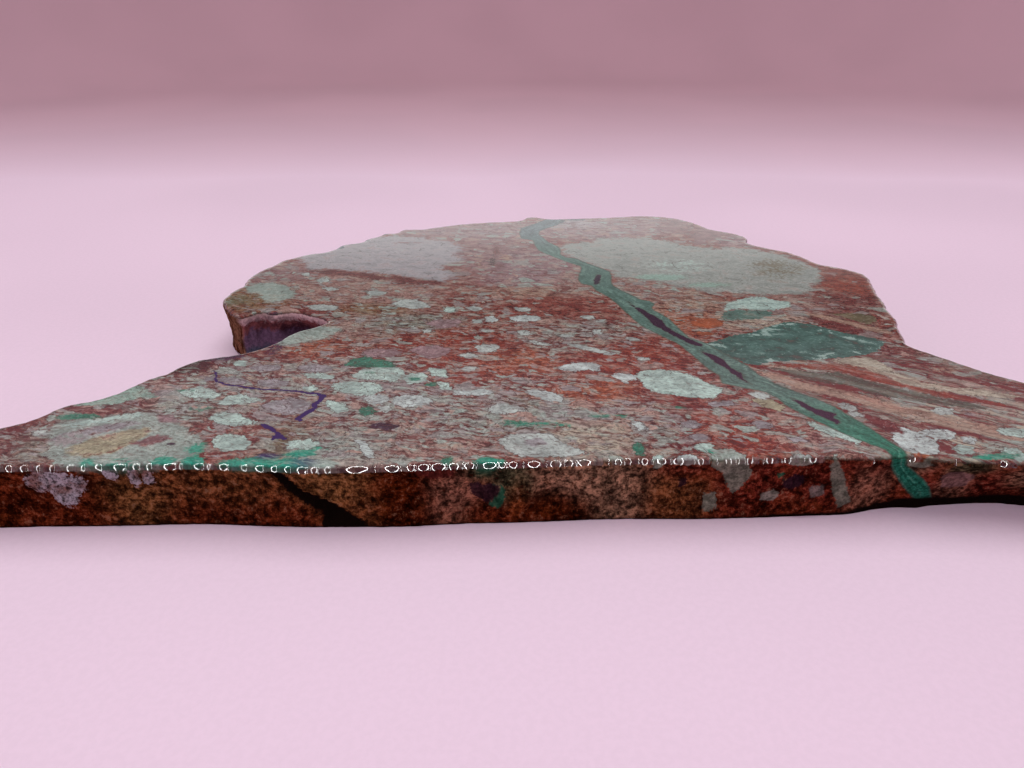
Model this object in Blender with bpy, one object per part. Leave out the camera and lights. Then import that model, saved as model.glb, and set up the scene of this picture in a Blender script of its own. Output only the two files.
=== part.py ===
"""A slab of brecciated rock with malachite and azurite veins, sawn flat and polished on top.

The slab lies on its sawn underside. Its outline is the broken edge of the rock: a long
front edge, two pointed wings, a deep notch on the left and a rounded lobe behind it.
Origin: the centre of the outline's box, on the underside. +X runs along the front edge,
+Y goes from the front edge to the back, +Z is up, out of the polished face.
"""

import math

import bmesh
import bpy
from mathutils import Vector

MM = 0.001

THICKNESS = 8.0
EDGE_ROUNDING = 0.8
BOTTOM_CHAMFER = 0.3
POINT_SPACING = 1.45

# The outline in millimetres, seen from above and going round to the left.
FRONT_EDGE = [
    (-69.5, -46.1), (-68.0, -48.0), (-62.5, -48.8), (-55.5, -48.7), (-47.5, -48.5),
    (-38.5, -48.3), (-32.5, -48.6), (-25.5, -49.0), (-17.5, -48.7), (-10.5, -48.2),
    (-2.5, -47.9), (6.5, -47.4), (16.5, -47.3), (26.5, -47.0), (31.5, -47.2),
    (34.5, -46.9), (37.0, -46.9), (39.0, -47.5), (42.0, -47.7), (45.0, -47.9),
    (48.0, -48.2), (51.5, -49.1), (55.0, -50.0), (60.0, -50.0), (65.0, -49.0),
    (68.0, -47.6), (69.5, -45.3),
]
RIGHT_WING = [
    (68.5, -43.1), (66.0, -40.1), (64.0, -36.6), (61.0, -33.4), (58.0, -29.6),
    (55.0, -26.6), (53.0, -24.1), (50.5, -20.8), (48.8, -18.3),
]
RIGHT_SIDE = [
    (49.8, -15.6), (49.9, -13.6), (50.7, -11.1), (51.7, -8.6), (51.7, -6.6),
    (52.0, -4.1), (52.8, -1.6), (53.0, 1.4), (53.8, 4.4), (54.3, 6.9), (54.9, 8.9),
    (54.9, 11.4), (53.7, 13.4), (51.5, 15.4), (49.5, 16.6), (48.5, 18.9),
    (47.3, 21.9), (45.5, 24.4), (43.0, 26.4), (41.0, 28.4), (39.9, 29.9),
    (40.8, 33.7), (39.5, 35.9), (37.0, 37.9), (34.8, 39.7), (33.2, 43.4),
    (31.0, 46.4), (28.8, 48.4), (25.5, 49.6), (21.5, 50.0),
]
BACK_EDGE = [
    (16.5, 49.0), (10.5, 48.1), (5.5, 47.6), (2.5, 47.4), (-0.5, 49.0), (-2.3, 48.7),
    (-3.7, 46.4), (-6.5, 45.4), (-11.5, 44.6), (-16.5, 43.2), (-20.5, 41.4),
    (-24.0, 39.6), (-27.8, 39.2), (-28.8, 36.6), (-31.0, 36.4), (-31.8, 34.4),
    (-34.0, 32.4), (-34.3, 30.4), (-38.0, 28.6), (-38.8, 25.9), (-40.5, 23.9),
    (-43.0, 23.0), (-44.9, 21.1), (-47.1, 18.7), (-47.9, 16.0),
]
LEFT_LOBE = [
    (-49.0, 13.9), (-50.0, 10.9), (-50.0, 7.4), (-49.6, 5.4), (-50.6, 3.7),
    (-51.1, 0.9), (-50.7, -1.8), (-49.0, -5.1), (-47.0, -7.6), (-45.5, -8.6),
]
NOTCH = [
    (-43.5, -5.8), (-42.0, -7.0), (-39.1, -5.9), (-36.5, -6.8), (-33.5, -8.6),
    (-32.5, -10.0), (-34.0, -11.8), (-36.1, -13.4), (-37.4, -15.6), (-38.3, -17.8),
    (-40.0, -19.6), (-42.0, -21.2), (-44.5, -22.1), (-47.0, -23.1),
]
LEFT_WING = [
    (-48.6, -25.1), (-49.1, -26.6), (-50.4, -28.0), (-51.5, -29.2), (-52.5, -31.0),
    (-53.1, -32.6), (-55.8, -34.4), (-58.5, -36.0), (-58.9, -37.5), (-59.9, -39.1),
    (-62.0, -40.4), (-65.5, -42.8), (-67.8, -44.3),
]
OUTLINE = FRONT_EDGE + RIGHT_WING + RIGHT_SIDE + BACK_EDGE + LEFT_LOBE + NOTCH + LEFT_WING

# Levels of the rings of points up the side, in millimetres above the underside.
LIP_HEIGHT = 0.95
LEVELS = [0.0, BOTTOM_CHAMFER, LIP_HEIGHT, 2.2, 3.6, 5.0, 6.2, THICKNESS - EDGE_ROUNDING, 7.7, THICKNESS]

# The front side of the right wing leans back under the stone: (x, how far back at the lip).
LEAN_ALONG_FRONT = [
    (26.0, 0.0), (33.0, 0.9), (37.0, 1.5), (42.0, 2.7), (45.0, 3.3), (50.0, 3.8), (58.0, 4.0), (64.0, 2.0),
    (69.5, 0.2),
]
LEAN_ENDS_BEHIND = -44.0
GAP_UNDER_LIP = 0.12

# Waves of the broken side: (waves round the outline, phase per millimetre of height, depth).
RELIEF_WAVES = [(29, 0.8, 0.16), (53, -0.55, 0.12), (97, 1.1, 0.07)]

# Hollows in the side: (middle x, middle y, middle z, half width, half height, depth).
HOLLOWS = [
    (-0.7, -47.6, 2.6, 4.2, 2.4, 1.0),
    (-25.6, -49.0, 1.2, 2.2, 2.0, 1.1),
    (-29.5, -48.8, 4.4, 1.5, 2.4, 0.5),
    (-37.0, -6.8, 3.5, 5.5, 3.6, 1.3),
    (48.0, -19.0, 2.5, 5.0, 3.0, 0.8),
]


def remove_scene_objects():
    for obj in list(bpy.data.objects):
        bpy.data.objects.remove(obj, do_unlink=True)


def spline_point(before, start, end, after, t):
    """A point of the Catmull-Rom curve that runs through the outline's points."""
    a = 2 * start
    b = end - before
    c = 2 * before - 5 * start + 4 * end - after
    d = 3 * start - before - 3 * end + after
    return 0.5 * (a + b * t + c * t * t + d * t ** 3)


def resampled_outline():
    """The closed outline with its points kept and more of them put between, evenly."""
    corners = [Vector(point) for point in OUTLINE]
    count = len(corners)
    points = []
    for i, start in enumerate(corners):
        before = corners[i - 1]
        end = corners[(i + 1) % count]
        after = corners[(i + 2) % count]
        steps = max(1, round((end - start).length / POINT_SPACING))
        for step in range(steps):
            points.append(spline_point(before, start, end, after, step / steps))
    return points


def centred(points):
    """The points moved so that their box is centred on the origin."""
    xs = [point.x for point in points]
    ys = [point.y for point in points]
    middle = Vector(((min(xs) + max(xs)) / 2, (min(ys) + max(ys)) / 2))
    return [point - middle for point in points]


def inward_normals(points):
    """For each point, the direction into the rock, evened out over its neighbours."""
    count = len(points)
    normals = []
    for i in range(count):
        tangent = Vector((0.0, 0.0))
        for reach in (1, 2):
            tangent += (points[(i + reach) % count] - points[i - reach]) / reach
        normals.append(Vector((-tangent.y, tangent.x)).normalized())
    return normals


def bump(distance, half_width):
    """1 in the middle of a hollow, falling smoothly to 0 at its half width."""
    if abs(distance) >= half_width:
        return 0.0
    return 0.5 + 0.5 * math.cos(math.pi * distance / half_width)


def edge_inset(z):
    """How far the rounded top edge and the bottom chamfer stand back from the side."""
    below_top = THICKNESS - z
    if below_top < EDGE_ROUNDING:
        drop = 1 - below_top / EDGE_ROUNDING
        return EDGE_ROUNDING * (1 - math.sqrt(1 - drop * drop))
    if z < BOTTOM_CHAMFER:
        return BOTTOM_CHAMFER - z
    return 0.0


def interpolated(table, x):
    """The value at x on the straight lines between the table's points."""
    for (x0, value0), (x1, value1) in zip(table, table[1:]):
        if x0 <= x <= x1:
            return value0 + (value1 - value0) * (x - x0) / (x1 - x0)
    return 0.0


def lean(point, z):
    """How far the right wing's front side stands back at this height, with the gap below its lip."""
    if point.y > LEAN_ENDS_BEHIND:
        return 0.0
    at_lip = interpolated(LEAN_ALONG_FRONT, point.x)
    below_edge = THICKNESS - EDGE_ROUNDING
    back = at_lip * max(0.0, below_edge - z) / (below_edge - LIP_HEIGHT)
    if z < LIP_HEIGHT:
        back = at_lip * (1 + GAP_UNDER_LIP * (LIP_HEIGHT - z) / LIP_HEIGHT)
    return back


def side_relief(point, z, turn):
    """Depth of the broken side below the outline; it fades to nothing at the top edge."""
    fade = min(1.0, max(0.0, (THICKNESS - EDGE_ROUNDING - z) / 1.5))
    depth = 0.0
    for waves, climb, height in RELIEF_WAVES:
        depth += height * (1 + math.sin(2 * math.pi * waves * turn + climb * z))
    for x, y, middle_z, half_width, half_height, hollow in HOLLOWS:
        away = math.hypot(point.x - x, point.y - y)
        depth += hollow * bump(away, half_width) * bump(z - middle_z, half_height)
    return depth * fade


def build_slab_mesh(name):
    points = centred(resampled_outline())
    normals = inward_normals(points)
    count = len(points)
    mesh_edit = bmesh.new()
    rings = []
    for z in LEVELS:
        ring = []
        for i, point in enumerate(points):
            inset = edge_inset(z) + side_relief(point, z, i / count) + lean(point, z)
            at = point + normals[i] * inset
            ring.append(mesh_edit.verts.new((at.x * MM, at.y * MM, z * MM)))
        rings.append(ring)
    for lower, upper in zip(rings, rings[1:]):
        for i in range(count):
            j = (i + 1) % count
            mesh_edit.faces.new((lower[i], lower[j], upper[j], upper[i]))
    mesh_edit.faces.new(rings[-1])
    mesh_edit.faces.new(reversed(rings[0]))
    mesh = bpy.data.meshes.new(name)
    mesh_edit.to_mesh(mesh)
    mesh_edit.free()
    return mesh


def stone_material():
    material = bpy.data.materials.new("red and grey breccia, polished")
    material.use_nodes = True
    shader = material.node_tree.nodes["Principled BSDF"]
    shader.inputs["Base Color"].default_value = (0.26, 0.19, 0.16, 1.0)
    shader.inputs["Roughness"].default_value = 0.2
    shader.inputs["Metallic"].default_value = 0.0
    return material


def build_slab():
    mesh = build_slab_mesh("slab")
    mesh.materials.append(stone_material())
    mesh.shade_smooth()
    mesh.set_sharp_from_angle(angle=math.radians(40))
    slab = bpy.data.objects.new("slab", mesh)
    bpy.context.scene.collection.objects.link(slab)
    return slab


remove_scene_objects()
build_slab()
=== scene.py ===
import math

import bpy
import numpy as np
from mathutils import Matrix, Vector, noise
from mathutils.bvhtree import BVHTree
from mathutils.geometry import delaunay_2d_cdt


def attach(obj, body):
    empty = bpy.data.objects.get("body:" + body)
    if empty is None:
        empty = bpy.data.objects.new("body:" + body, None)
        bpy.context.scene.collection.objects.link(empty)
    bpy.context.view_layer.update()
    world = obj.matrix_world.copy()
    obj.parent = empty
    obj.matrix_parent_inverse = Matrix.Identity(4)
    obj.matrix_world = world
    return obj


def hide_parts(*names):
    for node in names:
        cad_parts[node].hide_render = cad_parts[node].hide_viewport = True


# A polished slab of red and grey breccia, crossed by a malachite and azurite vein.
# Lengths are millimetres in the slab's own frame, and are turned into metres where a mesh is made.

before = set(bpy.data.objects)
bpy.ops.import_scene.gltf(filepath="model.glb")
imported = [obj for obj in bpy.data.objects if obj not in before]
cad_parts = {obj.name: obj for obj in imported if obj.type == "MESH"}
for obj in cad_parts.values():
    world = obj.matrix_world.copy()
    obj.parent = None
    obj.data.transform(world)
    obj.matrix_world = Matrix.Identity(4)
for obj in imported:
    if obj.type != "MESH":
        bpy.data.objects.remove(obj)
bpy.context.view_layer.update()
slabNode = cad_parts["slab"]
mm = 0.001
print("frame loaded")


# Colours, as red, green, blue from 0 to 255.

palette = {
    "brick": (132, 70, 60),
    "brightBrick": (140, 61, 43),
    "deepRed": (108, 52, 50),
    "orange": (160, 88, 58),
    "orangeCream": (168, 140, 122),
    "dustyPink": (168, 140, 128),
    "mauveBrown": (122, 90, 84),
    "mauve": (150, 127, 129),
    "redMauve": (138, 106, 106),
    "pinkBrown": (156, 126, 116),
    "beige": (160, 134, 116),
    "cream": (180, 176, 156),
    "tan": (164, 162, 134),
    "olive": (108, 100, 76),
    "greyGreen": (114, 122, 108),
    "darkGreyGreen": (84, 90, 78),
    "mint": (142, 172, 158),
    "paleMint": (172, 200, 190),
    "white": (184, 200, 196),
    "pale": (172, 186, 180),
    "greyMint": (154, 171, 161),
    "grey": (166, 164, 166),
    "lilac": (148, 148, 150),
    "lilacGrey": (148, 144, 142),
    "clayGrey": (157, 165, 158),
    "slate": (66, 80, 88),
    "purple": (72, 46, 68),
    "purpleBrown": (68, 42, 40),
    "malachite": (46, 118, 96),
    "brightMalachite": (40, 146, 122),
    "veinGreen": (94, 124, 114),
    "veinSlate": (92, 108, 112),
    "lensTeal": (74, 106, 98),
    "azurite": (50, 36, 92),
    "core": (58, 40, 56),
    # black of the crack, also used for the painted shadow along the front side's foot
    "crackAndShadowBlack": (16, 9, 7),
    "oliveBrown": (124, 96, 62),
    "rustBrown": (114, 78, 50),
    "rustOrange": (120, 66, 34),
    "maroon": (94, 44, 26),
    "deepRust": (76, 32, 12),
    "darkRed": (104, 46, 38),
    "faceMauve": (140, 106, 92),
    "faceGreen": (75, 92, 73),
    "faceBeige": (160, 138, 118),
    "brokenBrown": (146, 116, 98),
    "crust": (164, 158, 164),
    # The notch wall's colours: the lip's is a painted highlight, and the others are partly its own colour
    # and partly painted light and shade.
    "notchPurple": (104, 80, 102),
    "notchRed": (132, 78, 78),
    "notchSlate": (70, 76, 92),
    "notchLipHighlight": (196, 166, 166),
}


def linear(name):
    return tuple((c / 255 / 12.92) if c < 10 else ((c / 255 + 0.055) / 1.055) ** 2.4 for c in palette[name])


# Camera: as the photo was taken, low in front of the long edge.

view = {
    "place": (-5.5, -114.6, 51.0),
    "tiltDown": 27.0,
    "lens": 27.03,
}


def makeCamera():
    data = bpy.data.cameras.new("camera")
    data.lens = view["lens"]
    data.sensor_width = 36.0
    data.clip_start = 0.005
    data.clip_end = 10.0
    camera = bpy.data.objects.new("camera", data)
    camera.location = Vector(view["place"]) * mm
    camera.rotation_euler = (math.radians(90 - view["tiltDown"]), 0, 0)
    bpy.context.scene.collection.objects.link(camera)
    bpy.context.scene.camera = camera
    return camera


# Shader maths: a wire is an output socket, and the operators on it add Math nodes.

class Wire:
    def __init__(self, tree, socket):
        self.tree = tree
        self.socket = socket

    def math(self, operation, *values):
        node = self.tree.nodes.new("ShaderNodeMath")
        node.operation = operation
        for socket, value in zip(node.inputs, values):
            plug(self.tree, socket, value)
        return Wire(self.tree, node.outputs[0])

    def vector(self, operation, *values):
        node = self.tree.nodes.new("ShaderNodeVectorMath")
        node.operation = operation
        for socket, value in zip(node.inputs, (self,) + values):
            plug(self.tree, socket, value)
        return Wire(self.tree, node.outputs[0])

    def times(self, factor):                        # a vector, made longer or shorter
        node = self.tree.nodes.new("ShaderNodeVectorMath")
        node.operation = "SCALE"
        plug(self.tree, node.inputs[0], self)
        plug(self.tree, node.inputs["Scale"], factor)
        return Wire(self.tree, node.outputs[0])

    def part(self, index):                          # one of a vector's or a colour's three numbers
        node = self.tree.nodes.new("ShaderNodeSeparateXYZ")
        plug(self.tree, node.inputs[0], self)
        return Wire(self.tree, node.outputs[index])

    def ramp(self, start, end, low=0.0, high=1.0):  # an even step from low to high between start and end
        node = self.tree.nodes.new("ShaderNodeMapRange")
        node.interpolation_type = "SMOOTHSTEP"
        for socket, value in zip(node.inputs, (self, start, end, low, high)):
            plug(self.tree, socket, value)
        return Wire(self.tree, node.outputs[0])

    def __add__(self, other):
        return self.math("ADD", self, other)

    def __radd__(self, other):
        return self.math("ADD", other, self)

    def __sub__(self, other):
        return self.math("SUBTRACT", self, other)

    def __rsub__(self, other):
        return self.math("SUBTRACT", other, self)

    def __mul__(self, other):
        return self.math("MULTIPLY", self, other)

    def __rmul__(self, other):
        return self.math("MULTIPLY", other, self)

    def __truediv__(self, other):
        return self.math("DIVIDE", self, other)

    def __abs__(self):
        return self.math("ABSOLUTE", self)

    def max(self, other):
        return self.math("MAXIMUM", self, other)


def plug(tree, socket, value):
    if isinstance(value, Wire):
        tree.links.new(value.socket, socket)
    elif isinstance(value, str):
        socket.default_value = (*linear(value), 1.0)
    elif hasattr(value, "__len__") and socket.type == "RGBA" and len(value) == 3:
        socket.default_value = (*value, 1.0)
    else:
        socket.default_value = value


class Paint:
    def __init__(self, name):
        self.material = bpy.data.materials.new(name)
        self.material.use_nodes = True
        self.tree = self.material.node_tree
        self.tree.nodes.clear()

    def node(self, kind, settings=None, sockets=None):
        node = self.tree.nodes.new(kind)
        for name, value in (settings or {}).items():
            setattr(node, name, value)
        for name, value in (sockets or {}).items():
            plug(self.tree, node.inputs[name], value)
        return node

    def out(self, kind, settings=None, sockets=None, output=0):
        return Wire(self.tree, self.node(kind, settings, sockets).outputs[output])

    def mix(self, factor, a, b, blend="MIX"):
        node = self.node("ShaderNodeMix", {"data_type": "RGBA", "blend_type": blend, "clamp_factor": True})
        for index, value in ((0, factor), (6, a), (7, b)):
            plug(self.tree, node.inputs[index], value)
        return Wire(self.tree, node.outputs[2])

    def noise(self, where, scale, detail=2.0, rough=0.5, output=0, solid=False):
        settings = {"noise_dimensions": "3D" if solid else "2D"}
        sockets = {"Vector": where, "Scale": scale, "Detail": detail, "Roughness": rough}
        return self.out("ShaderNodeTexNoise", settings, sockets, output)

    def cells(self, where, scale, feature="F1", output=0):
        settings = {"feature": feature, "voronoi_dimensions": "2D"}
        return self.out("ShaderNodeTexVoronoi", settings, {"Vector": where, "Scale": scale}, output)

    def attribute(self, name, output=2):            # 0 is its colour, 1 its vector, 2 its number
        return self.out("ShaderNodeAttribute", {"attribute_name": name}, None, output)

    def grey(self, value):                          # a number as a colour
        return self.out("ShaderNodeCombineXYZ", None, {"X": value, "Y": value, "Z": value})

    def either(self, factor, first, second):        # the first shader where the factor is 0
        both = self.node("ShaderNodeMixShader", None, {0: factor})
        self.tree.links.new(first.outputs[0], both.inputs[1])
        self.tree.links.new(second.outputs[0], both.inputs[2])
        return both

    def finish(self, shader):
        end = self.node("ShaderNodeOutputMaterial")
        self.tree.links.new(shader.outputs[0], end.inputs["Surface"])
        return self.material


def tinted(paint, colour, tint):                    # a colour times another
    return paint.mix(1.0, colour, tint, "MULTIPLY")


def shaded(paint, colour, *shades):                 # a colour times one or more numbers
    shade = shades[0]
    for other in shades[1:]:
        shade = shade * other
    return tinted(paint, colour, paint.grey(shade))


# Floor: a pale paper that curves up all round into a wall, seen through from below.

floor = {
    "flatRadius": 400.0,
    "rings": (60, 140, 240),        # radii of the rings of points on its flat part
    "around": 96,                   # and how many points are in a ring
    "bend": 170.0,
    "bendSteps": 12,
    "wallHeight": 420.0,
    "below": 0.03,                  # how far below the slab it lies
    "paper": (0.890, 0.722, 0.855),
    "shadedFarPaper": (0.60, 0.392, 0.452),
    "farShadeStarts": 126.0,             # the painted shade on the paper starts here
    "farShadeFades": 90.0,
    "farShadeWanders": 30.0,             # how uneven the line is where that starts
    "fibreScale": 1.6,
    "cloudScale": 0.012,
}


def floorMaterial():
    paint = Paint("palePaper")
    here = paint.out("ShaderNodeTexCoord", output=3).times(1 / mm)
    fibre = paint.noise(here, floor["fibreScale"], 2, 0.6)
    cloud = paint.noise(here, floor["cloudScale"], 1)
    # painted shade: the paper grows darker away from the slab
    beyond = (here.part(1) + (cloud - 0.5) * floor["farShadeWanders"] - floor["farShadeStarts"]).max(0.0)
    far = 1 - beyond.math("EXPONENT", beyond * (-1 / floor["farShadeFades"]))
    colour = paint.mix(far, floor["paper"], floor["shadedFarPaper"])
    colour = shaded(paint, colour, cloud.ramp(0.3, 0.7, 0.97, 1.02), fibre.ramp(0.3, 0.7, 0.985, 1.01))
    bump = paint.out("ShaderNodeBump", None, {"Strength": 0.10, "Distance": 0.0001, "Height": fibre})
    skin = paint.node("ShaderNodeBsdfPrincipled", None, {
        "Base Color": colour, "Roughness": 0.8, "Normal": bump, "Specular IOR Level": 0.0})
    clear = paint.node("ShaderNodeBsdfTransparent")
    below = paint.out("ShaderNodeNewGeometry", output="Backfacing")
    return paint.finish(paint.either(below, skin, clear))


def makeFloor():
    flat = floor["flatRadius"]
    bend = floor["bend"]
    profile = [(0.0, 0.0)]
    profile += [(radius, 0.0) for radius in (*floor["rings"], flat)]
    for step in range(1, floor["bendSteps"] + 1):
        turn = math.radians(90 * step / floor["bendSteps"])
        profile.append((flat + bend * math.sin(turn), bend * (1 - math.cos(turn))))
    profile.append((profile[-1][0], floor["wallHeight"]))
    around = floor["around"]
    points = [(0.0, 0.0, -floor["below"] * mm)]
    for radius, height in profile[1:]:
        for k in range(around):
            angle = 2 * math.pi * k / around
            x = radius * math.cos(angle) * mm
            y = radius * math.sin(angle) * mm
            points.append((x, y, (height - floor["below"]) * mm))
    faces = [(0, 1 + k, 1 + (k + 1) % around) for k in range(around)]
    for ring in range(len(profile) - 2):
        for k in range(around):
            a = 1 + ring * around + k
            b = 1 + ring * around + (k + 1) % around
            faces.append((a, a + around, b + around, b))
    mesh = bpy.data.meshes.new("floor")
    mesh.from_pydata(points, [], faces)
    mesh.shade_smooth()
    mesh.materials.append(floorMaterial())
    sheet = bpy.data.objects.new("floor", mesh)
    bpy.context.scene.collection.objects.link(sheet)


# Light: a wide soft box above and a weaker one at the front. A low panel behind, a card that stands on the
# slab's front edge and a thin ring round the lens are seen only as reflections in the polish. The card
# keeps the ring out of the polished face when the slab is seen from behind.

light = {
    "world": (1.0, 0.90, 0.95),
    "worldStrength": 0.20,
    "top": {"place": (0, 70, 540), "size": 560, "power": 1.85, "colour": (1.0, 0.985, 0.97)},
    "front": {"place": (-20, -330, 340), "size": 260, "power": 0.46, "colour": (1.0, 0.98, 0.99)},
    "panel": {"y": 380.0, "width": 1100.0, "low": 20.0, "high": 190.0, "fades": (98.0, 142.0),
              "strength": 1.15, "colour": (1.0, 1.0, 1.0)},
    "card": {"y": -47.2, "width": 156.0, "low": 8.3, "high": 80.0, "fades": (500.0, 600.0),
             "strength": 0.62, "colour": (1.0, 0.84, 0.92)},
    "ringRadius": 58.0,
    "ringThickness": 2.4,
    "ringTilt": 57.0,
    "ringStrength": 70.0,
}


def softBox(name, box):
    data = bpy.data.lights.new(name, "AREA")
    data.shape = "SQUARE"
    data.size = box["size"] * mm
    data.energy = box["power"]
    data.color = box["colour"]
    lamp = bpy.data.objects.new(name, data)
    lamp.location = Vector(box["place"]) * mm
    lamp.rotation_euler = Vector(box["place"]).to_track_quat("Z", "Y").to_euler()
    lamp.visible_glossy = False
    lamp.visible_camera = False
    bpy.context.scene.collection.objects.link(lamp)


def onlyMirrored(lamp):
    lamp.visible_camera = False
    lamp.visible_diffuse = False
    lamp.visible_shadow = False
    lamp.visible_transmission = False


def makeBoard(name, board):
    paint = Paint(name)
    height = paint.out("ShaderNodeTexCoord", output=3).part(2) * (1 / mm)
    glow = shaded(paint, board["colour"], height.ramp(*reversed(board["fades"])))
    shader = paint.node("ShaderNodeEmission", None, {"Color": glow, "Strength": board["strength"]})
    half = 0.5 * board["width"] * mm
    y = board["y"] * mm
    low = board["low"] * mm
    high = board["high"] * mm
    mesh = bpy.data.meshes.new(name)
    corners = [(-half, y, low), (half, y, low), (half, y, high), (-half, y, high)]
    mesh.from_pydata(corners, [], [(0, 1, 2, 3)])
    mesh.materials.append(paint.finish(shader))
    mesh.materials[0].cycles.emission_sampling = "NONE"
    sheet = bpy.data.objects.new(name, mesh)
    bpy.context.scene.collection.objects.link(sheet)
    onlyMirrored(sheet)


def makeRingLamp(camera):
    paint = Paint("ringGlow")
    glow = paint.node("ShaderNodeEmission", None, {"Strength": light["ringStrength"]})
    bpy.ops.mesh.primitive_torus_add(
        major_radius=light["ringRadius"] * mm, minor_radius=light["ringThickness"] * mm,
        major_segments=72, minor_segments=8, location=camera.location,
        rotation=(math.radians(light["ringTilt"]), 0, 0))
    ring = bpy.context.object
    ring.name = "ringLamp"
    ring.data.materials.append(paint.finish(glow))
    ring.data.materials[0].cycles.emission_sampling = "NONE"
    onlyMirrored(ring)


def makeLight(camera):
    world = bpy.data.worlds.new("world")
    bpy.context.scene.world = world
    world.use_nodes = True
    background = world.node_tree.nodes["Background"]
    background.inputs["Color"].default_value = (*light["world"], 1.0)
    background.inputs["Strength"].default_value = light["worldStrength"]
    softBox("topBox", light["top"])
    softBox("frontBox", light["front"])
    makeBoard("backPanel", light["panel"])
    makeBoard("hidingCard", light["card"])
    makeRingLamp(camera)
    bpy.context.scene.view_settings.view_transform = "Standard"


camera = makeCamera()
makeFloor()
makeLight(camera)
print("camera, floor and light made")


# The slab's shape. Its outline and the lean of its sides are measured on the CAD slab.

shape = {
    "thickness": 8.0,
    "sideTop": 7.2,                 # height where the rounded top edge starts
    "chamfer": 0.3,
    "heights": [0.0, 0.3, 0.62, 0.95, 1.35, 1.8, 2.3, 2.8, 3.3, 3.8, 4.3, 4.8, 5.3, 5.8, 6.3, 6.8, 7.2],
    "frontStep": 0.24,              # spacing of the columns of points on the front side
    "sideStep": 0.38,
    "frontEnds": -44.0,
    "frontLine": -48.0,             # where the front side's drawings have its top edge
    "gridFront": 0.42,              # spacing of the points on the top face
    "gridBack": 0.60,
    "gridWidens": (-22, 8),         # and from where to where it goes from one to the other
    "gridUnder": 1.5,
    "gridUneven": 0.09,
    "jagFront": 0.07,               # roughness of the outline
    "jagSides": 0.30,
    "lumps": 0.20,                  # relief of the broken side
    "facets": 0.22,
    "chips": 0.20,
    "edgeRadius": 0.70,             # of the rounded top edge, and how much it varies
    "edgeVaries": 0.10,
    "arcSteps": 6,
}


def cadRing(height):
    mesh = slabNode.data
    keys = [tuple(round(c / mm, 2) for c in v.co) for v in mesh.vertices]
    nextTo = {}
    for edge in mesh.edges:
        a, b = (keys[i] for i in edge.vertices)
        if a != b and abs(a[2] - height) < 0.03 and abs(b[2] - height) < 0.03:
            nextTo.setdefault(a, set()).add(b)
            nextTo.setdefault(b, set()).add(a)
    start = max(nextTo, key=lambda key: key[1])     # the seam is at the very back
    ring = [start, sorted(nextTo[start])[0]]
    while True:
        onward = [key for key in nextTo[ring[-1]] if key != ring[-2]]
        if not onward or onward[0] == start:
            break
        ring.append(onward[0])
    ring = np.array(ring)[:, :2]
    turned = np.roll(ring, -1, axis=0)
    area = (ring[:, 0] * turned[:, 1] - turned[:, 0] * ring[:, 1]).sum()
    return ring if area > 0 else ring[::-1]


def resampled(ring):
    closed = np.vstack([ring, ring[:1]])
    along = np.concatenate([[0], np.cumsum(np.linalg.norm(np.diff(closed, axis=0), axis=1))])
    place = 0.0
    places = []
    while place < along[-1] - 0.5 * shape["frontStep"]:
        places.append(place)
        y = np.interp(place, along, closed[:, 1])
        place += shape["frontStep"] if y < shape["frontEnds"] else shape["sideStep"]
    return np.column_stack([np.interp(places, along, closed[:, k]) for k in (0, 1)])


def evened(values, rounds):
    for _ in range(rounds):
        values = 0.25 * np.roll(values, 1, axis=0) + 0.5 * values + 0.25 * np.roll(values, -1, axis=0)
    return values


def outwardOf(points):
    tangent = np.roll(points, -2, axis=0) - np.roll(points, 2, axis=0)
    tangent = evened(tangent / np.linalg.norm(tangent, axis=1)[:, None], 14)
    tangent /= np.linalg.norm(tangent, axis=1)[:, None]
    return np.column_stack([tangent[:, 1], -tangent[:, 0]])


def fractal(x, y, z, octaves=4, rough=1.0):
    return noise.fractal(Vector((x, y, z)), rough, 2.1, octaves)


def smooth(value, low, high):
    t = np.clip((np.asarray(value, float) - low) / (high - low), 0, 1)
    return t * t * (3 - 2 * t)


# What shows on the front side: x along it, then millimetres above (+) or below (-) the top edge.

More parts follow.
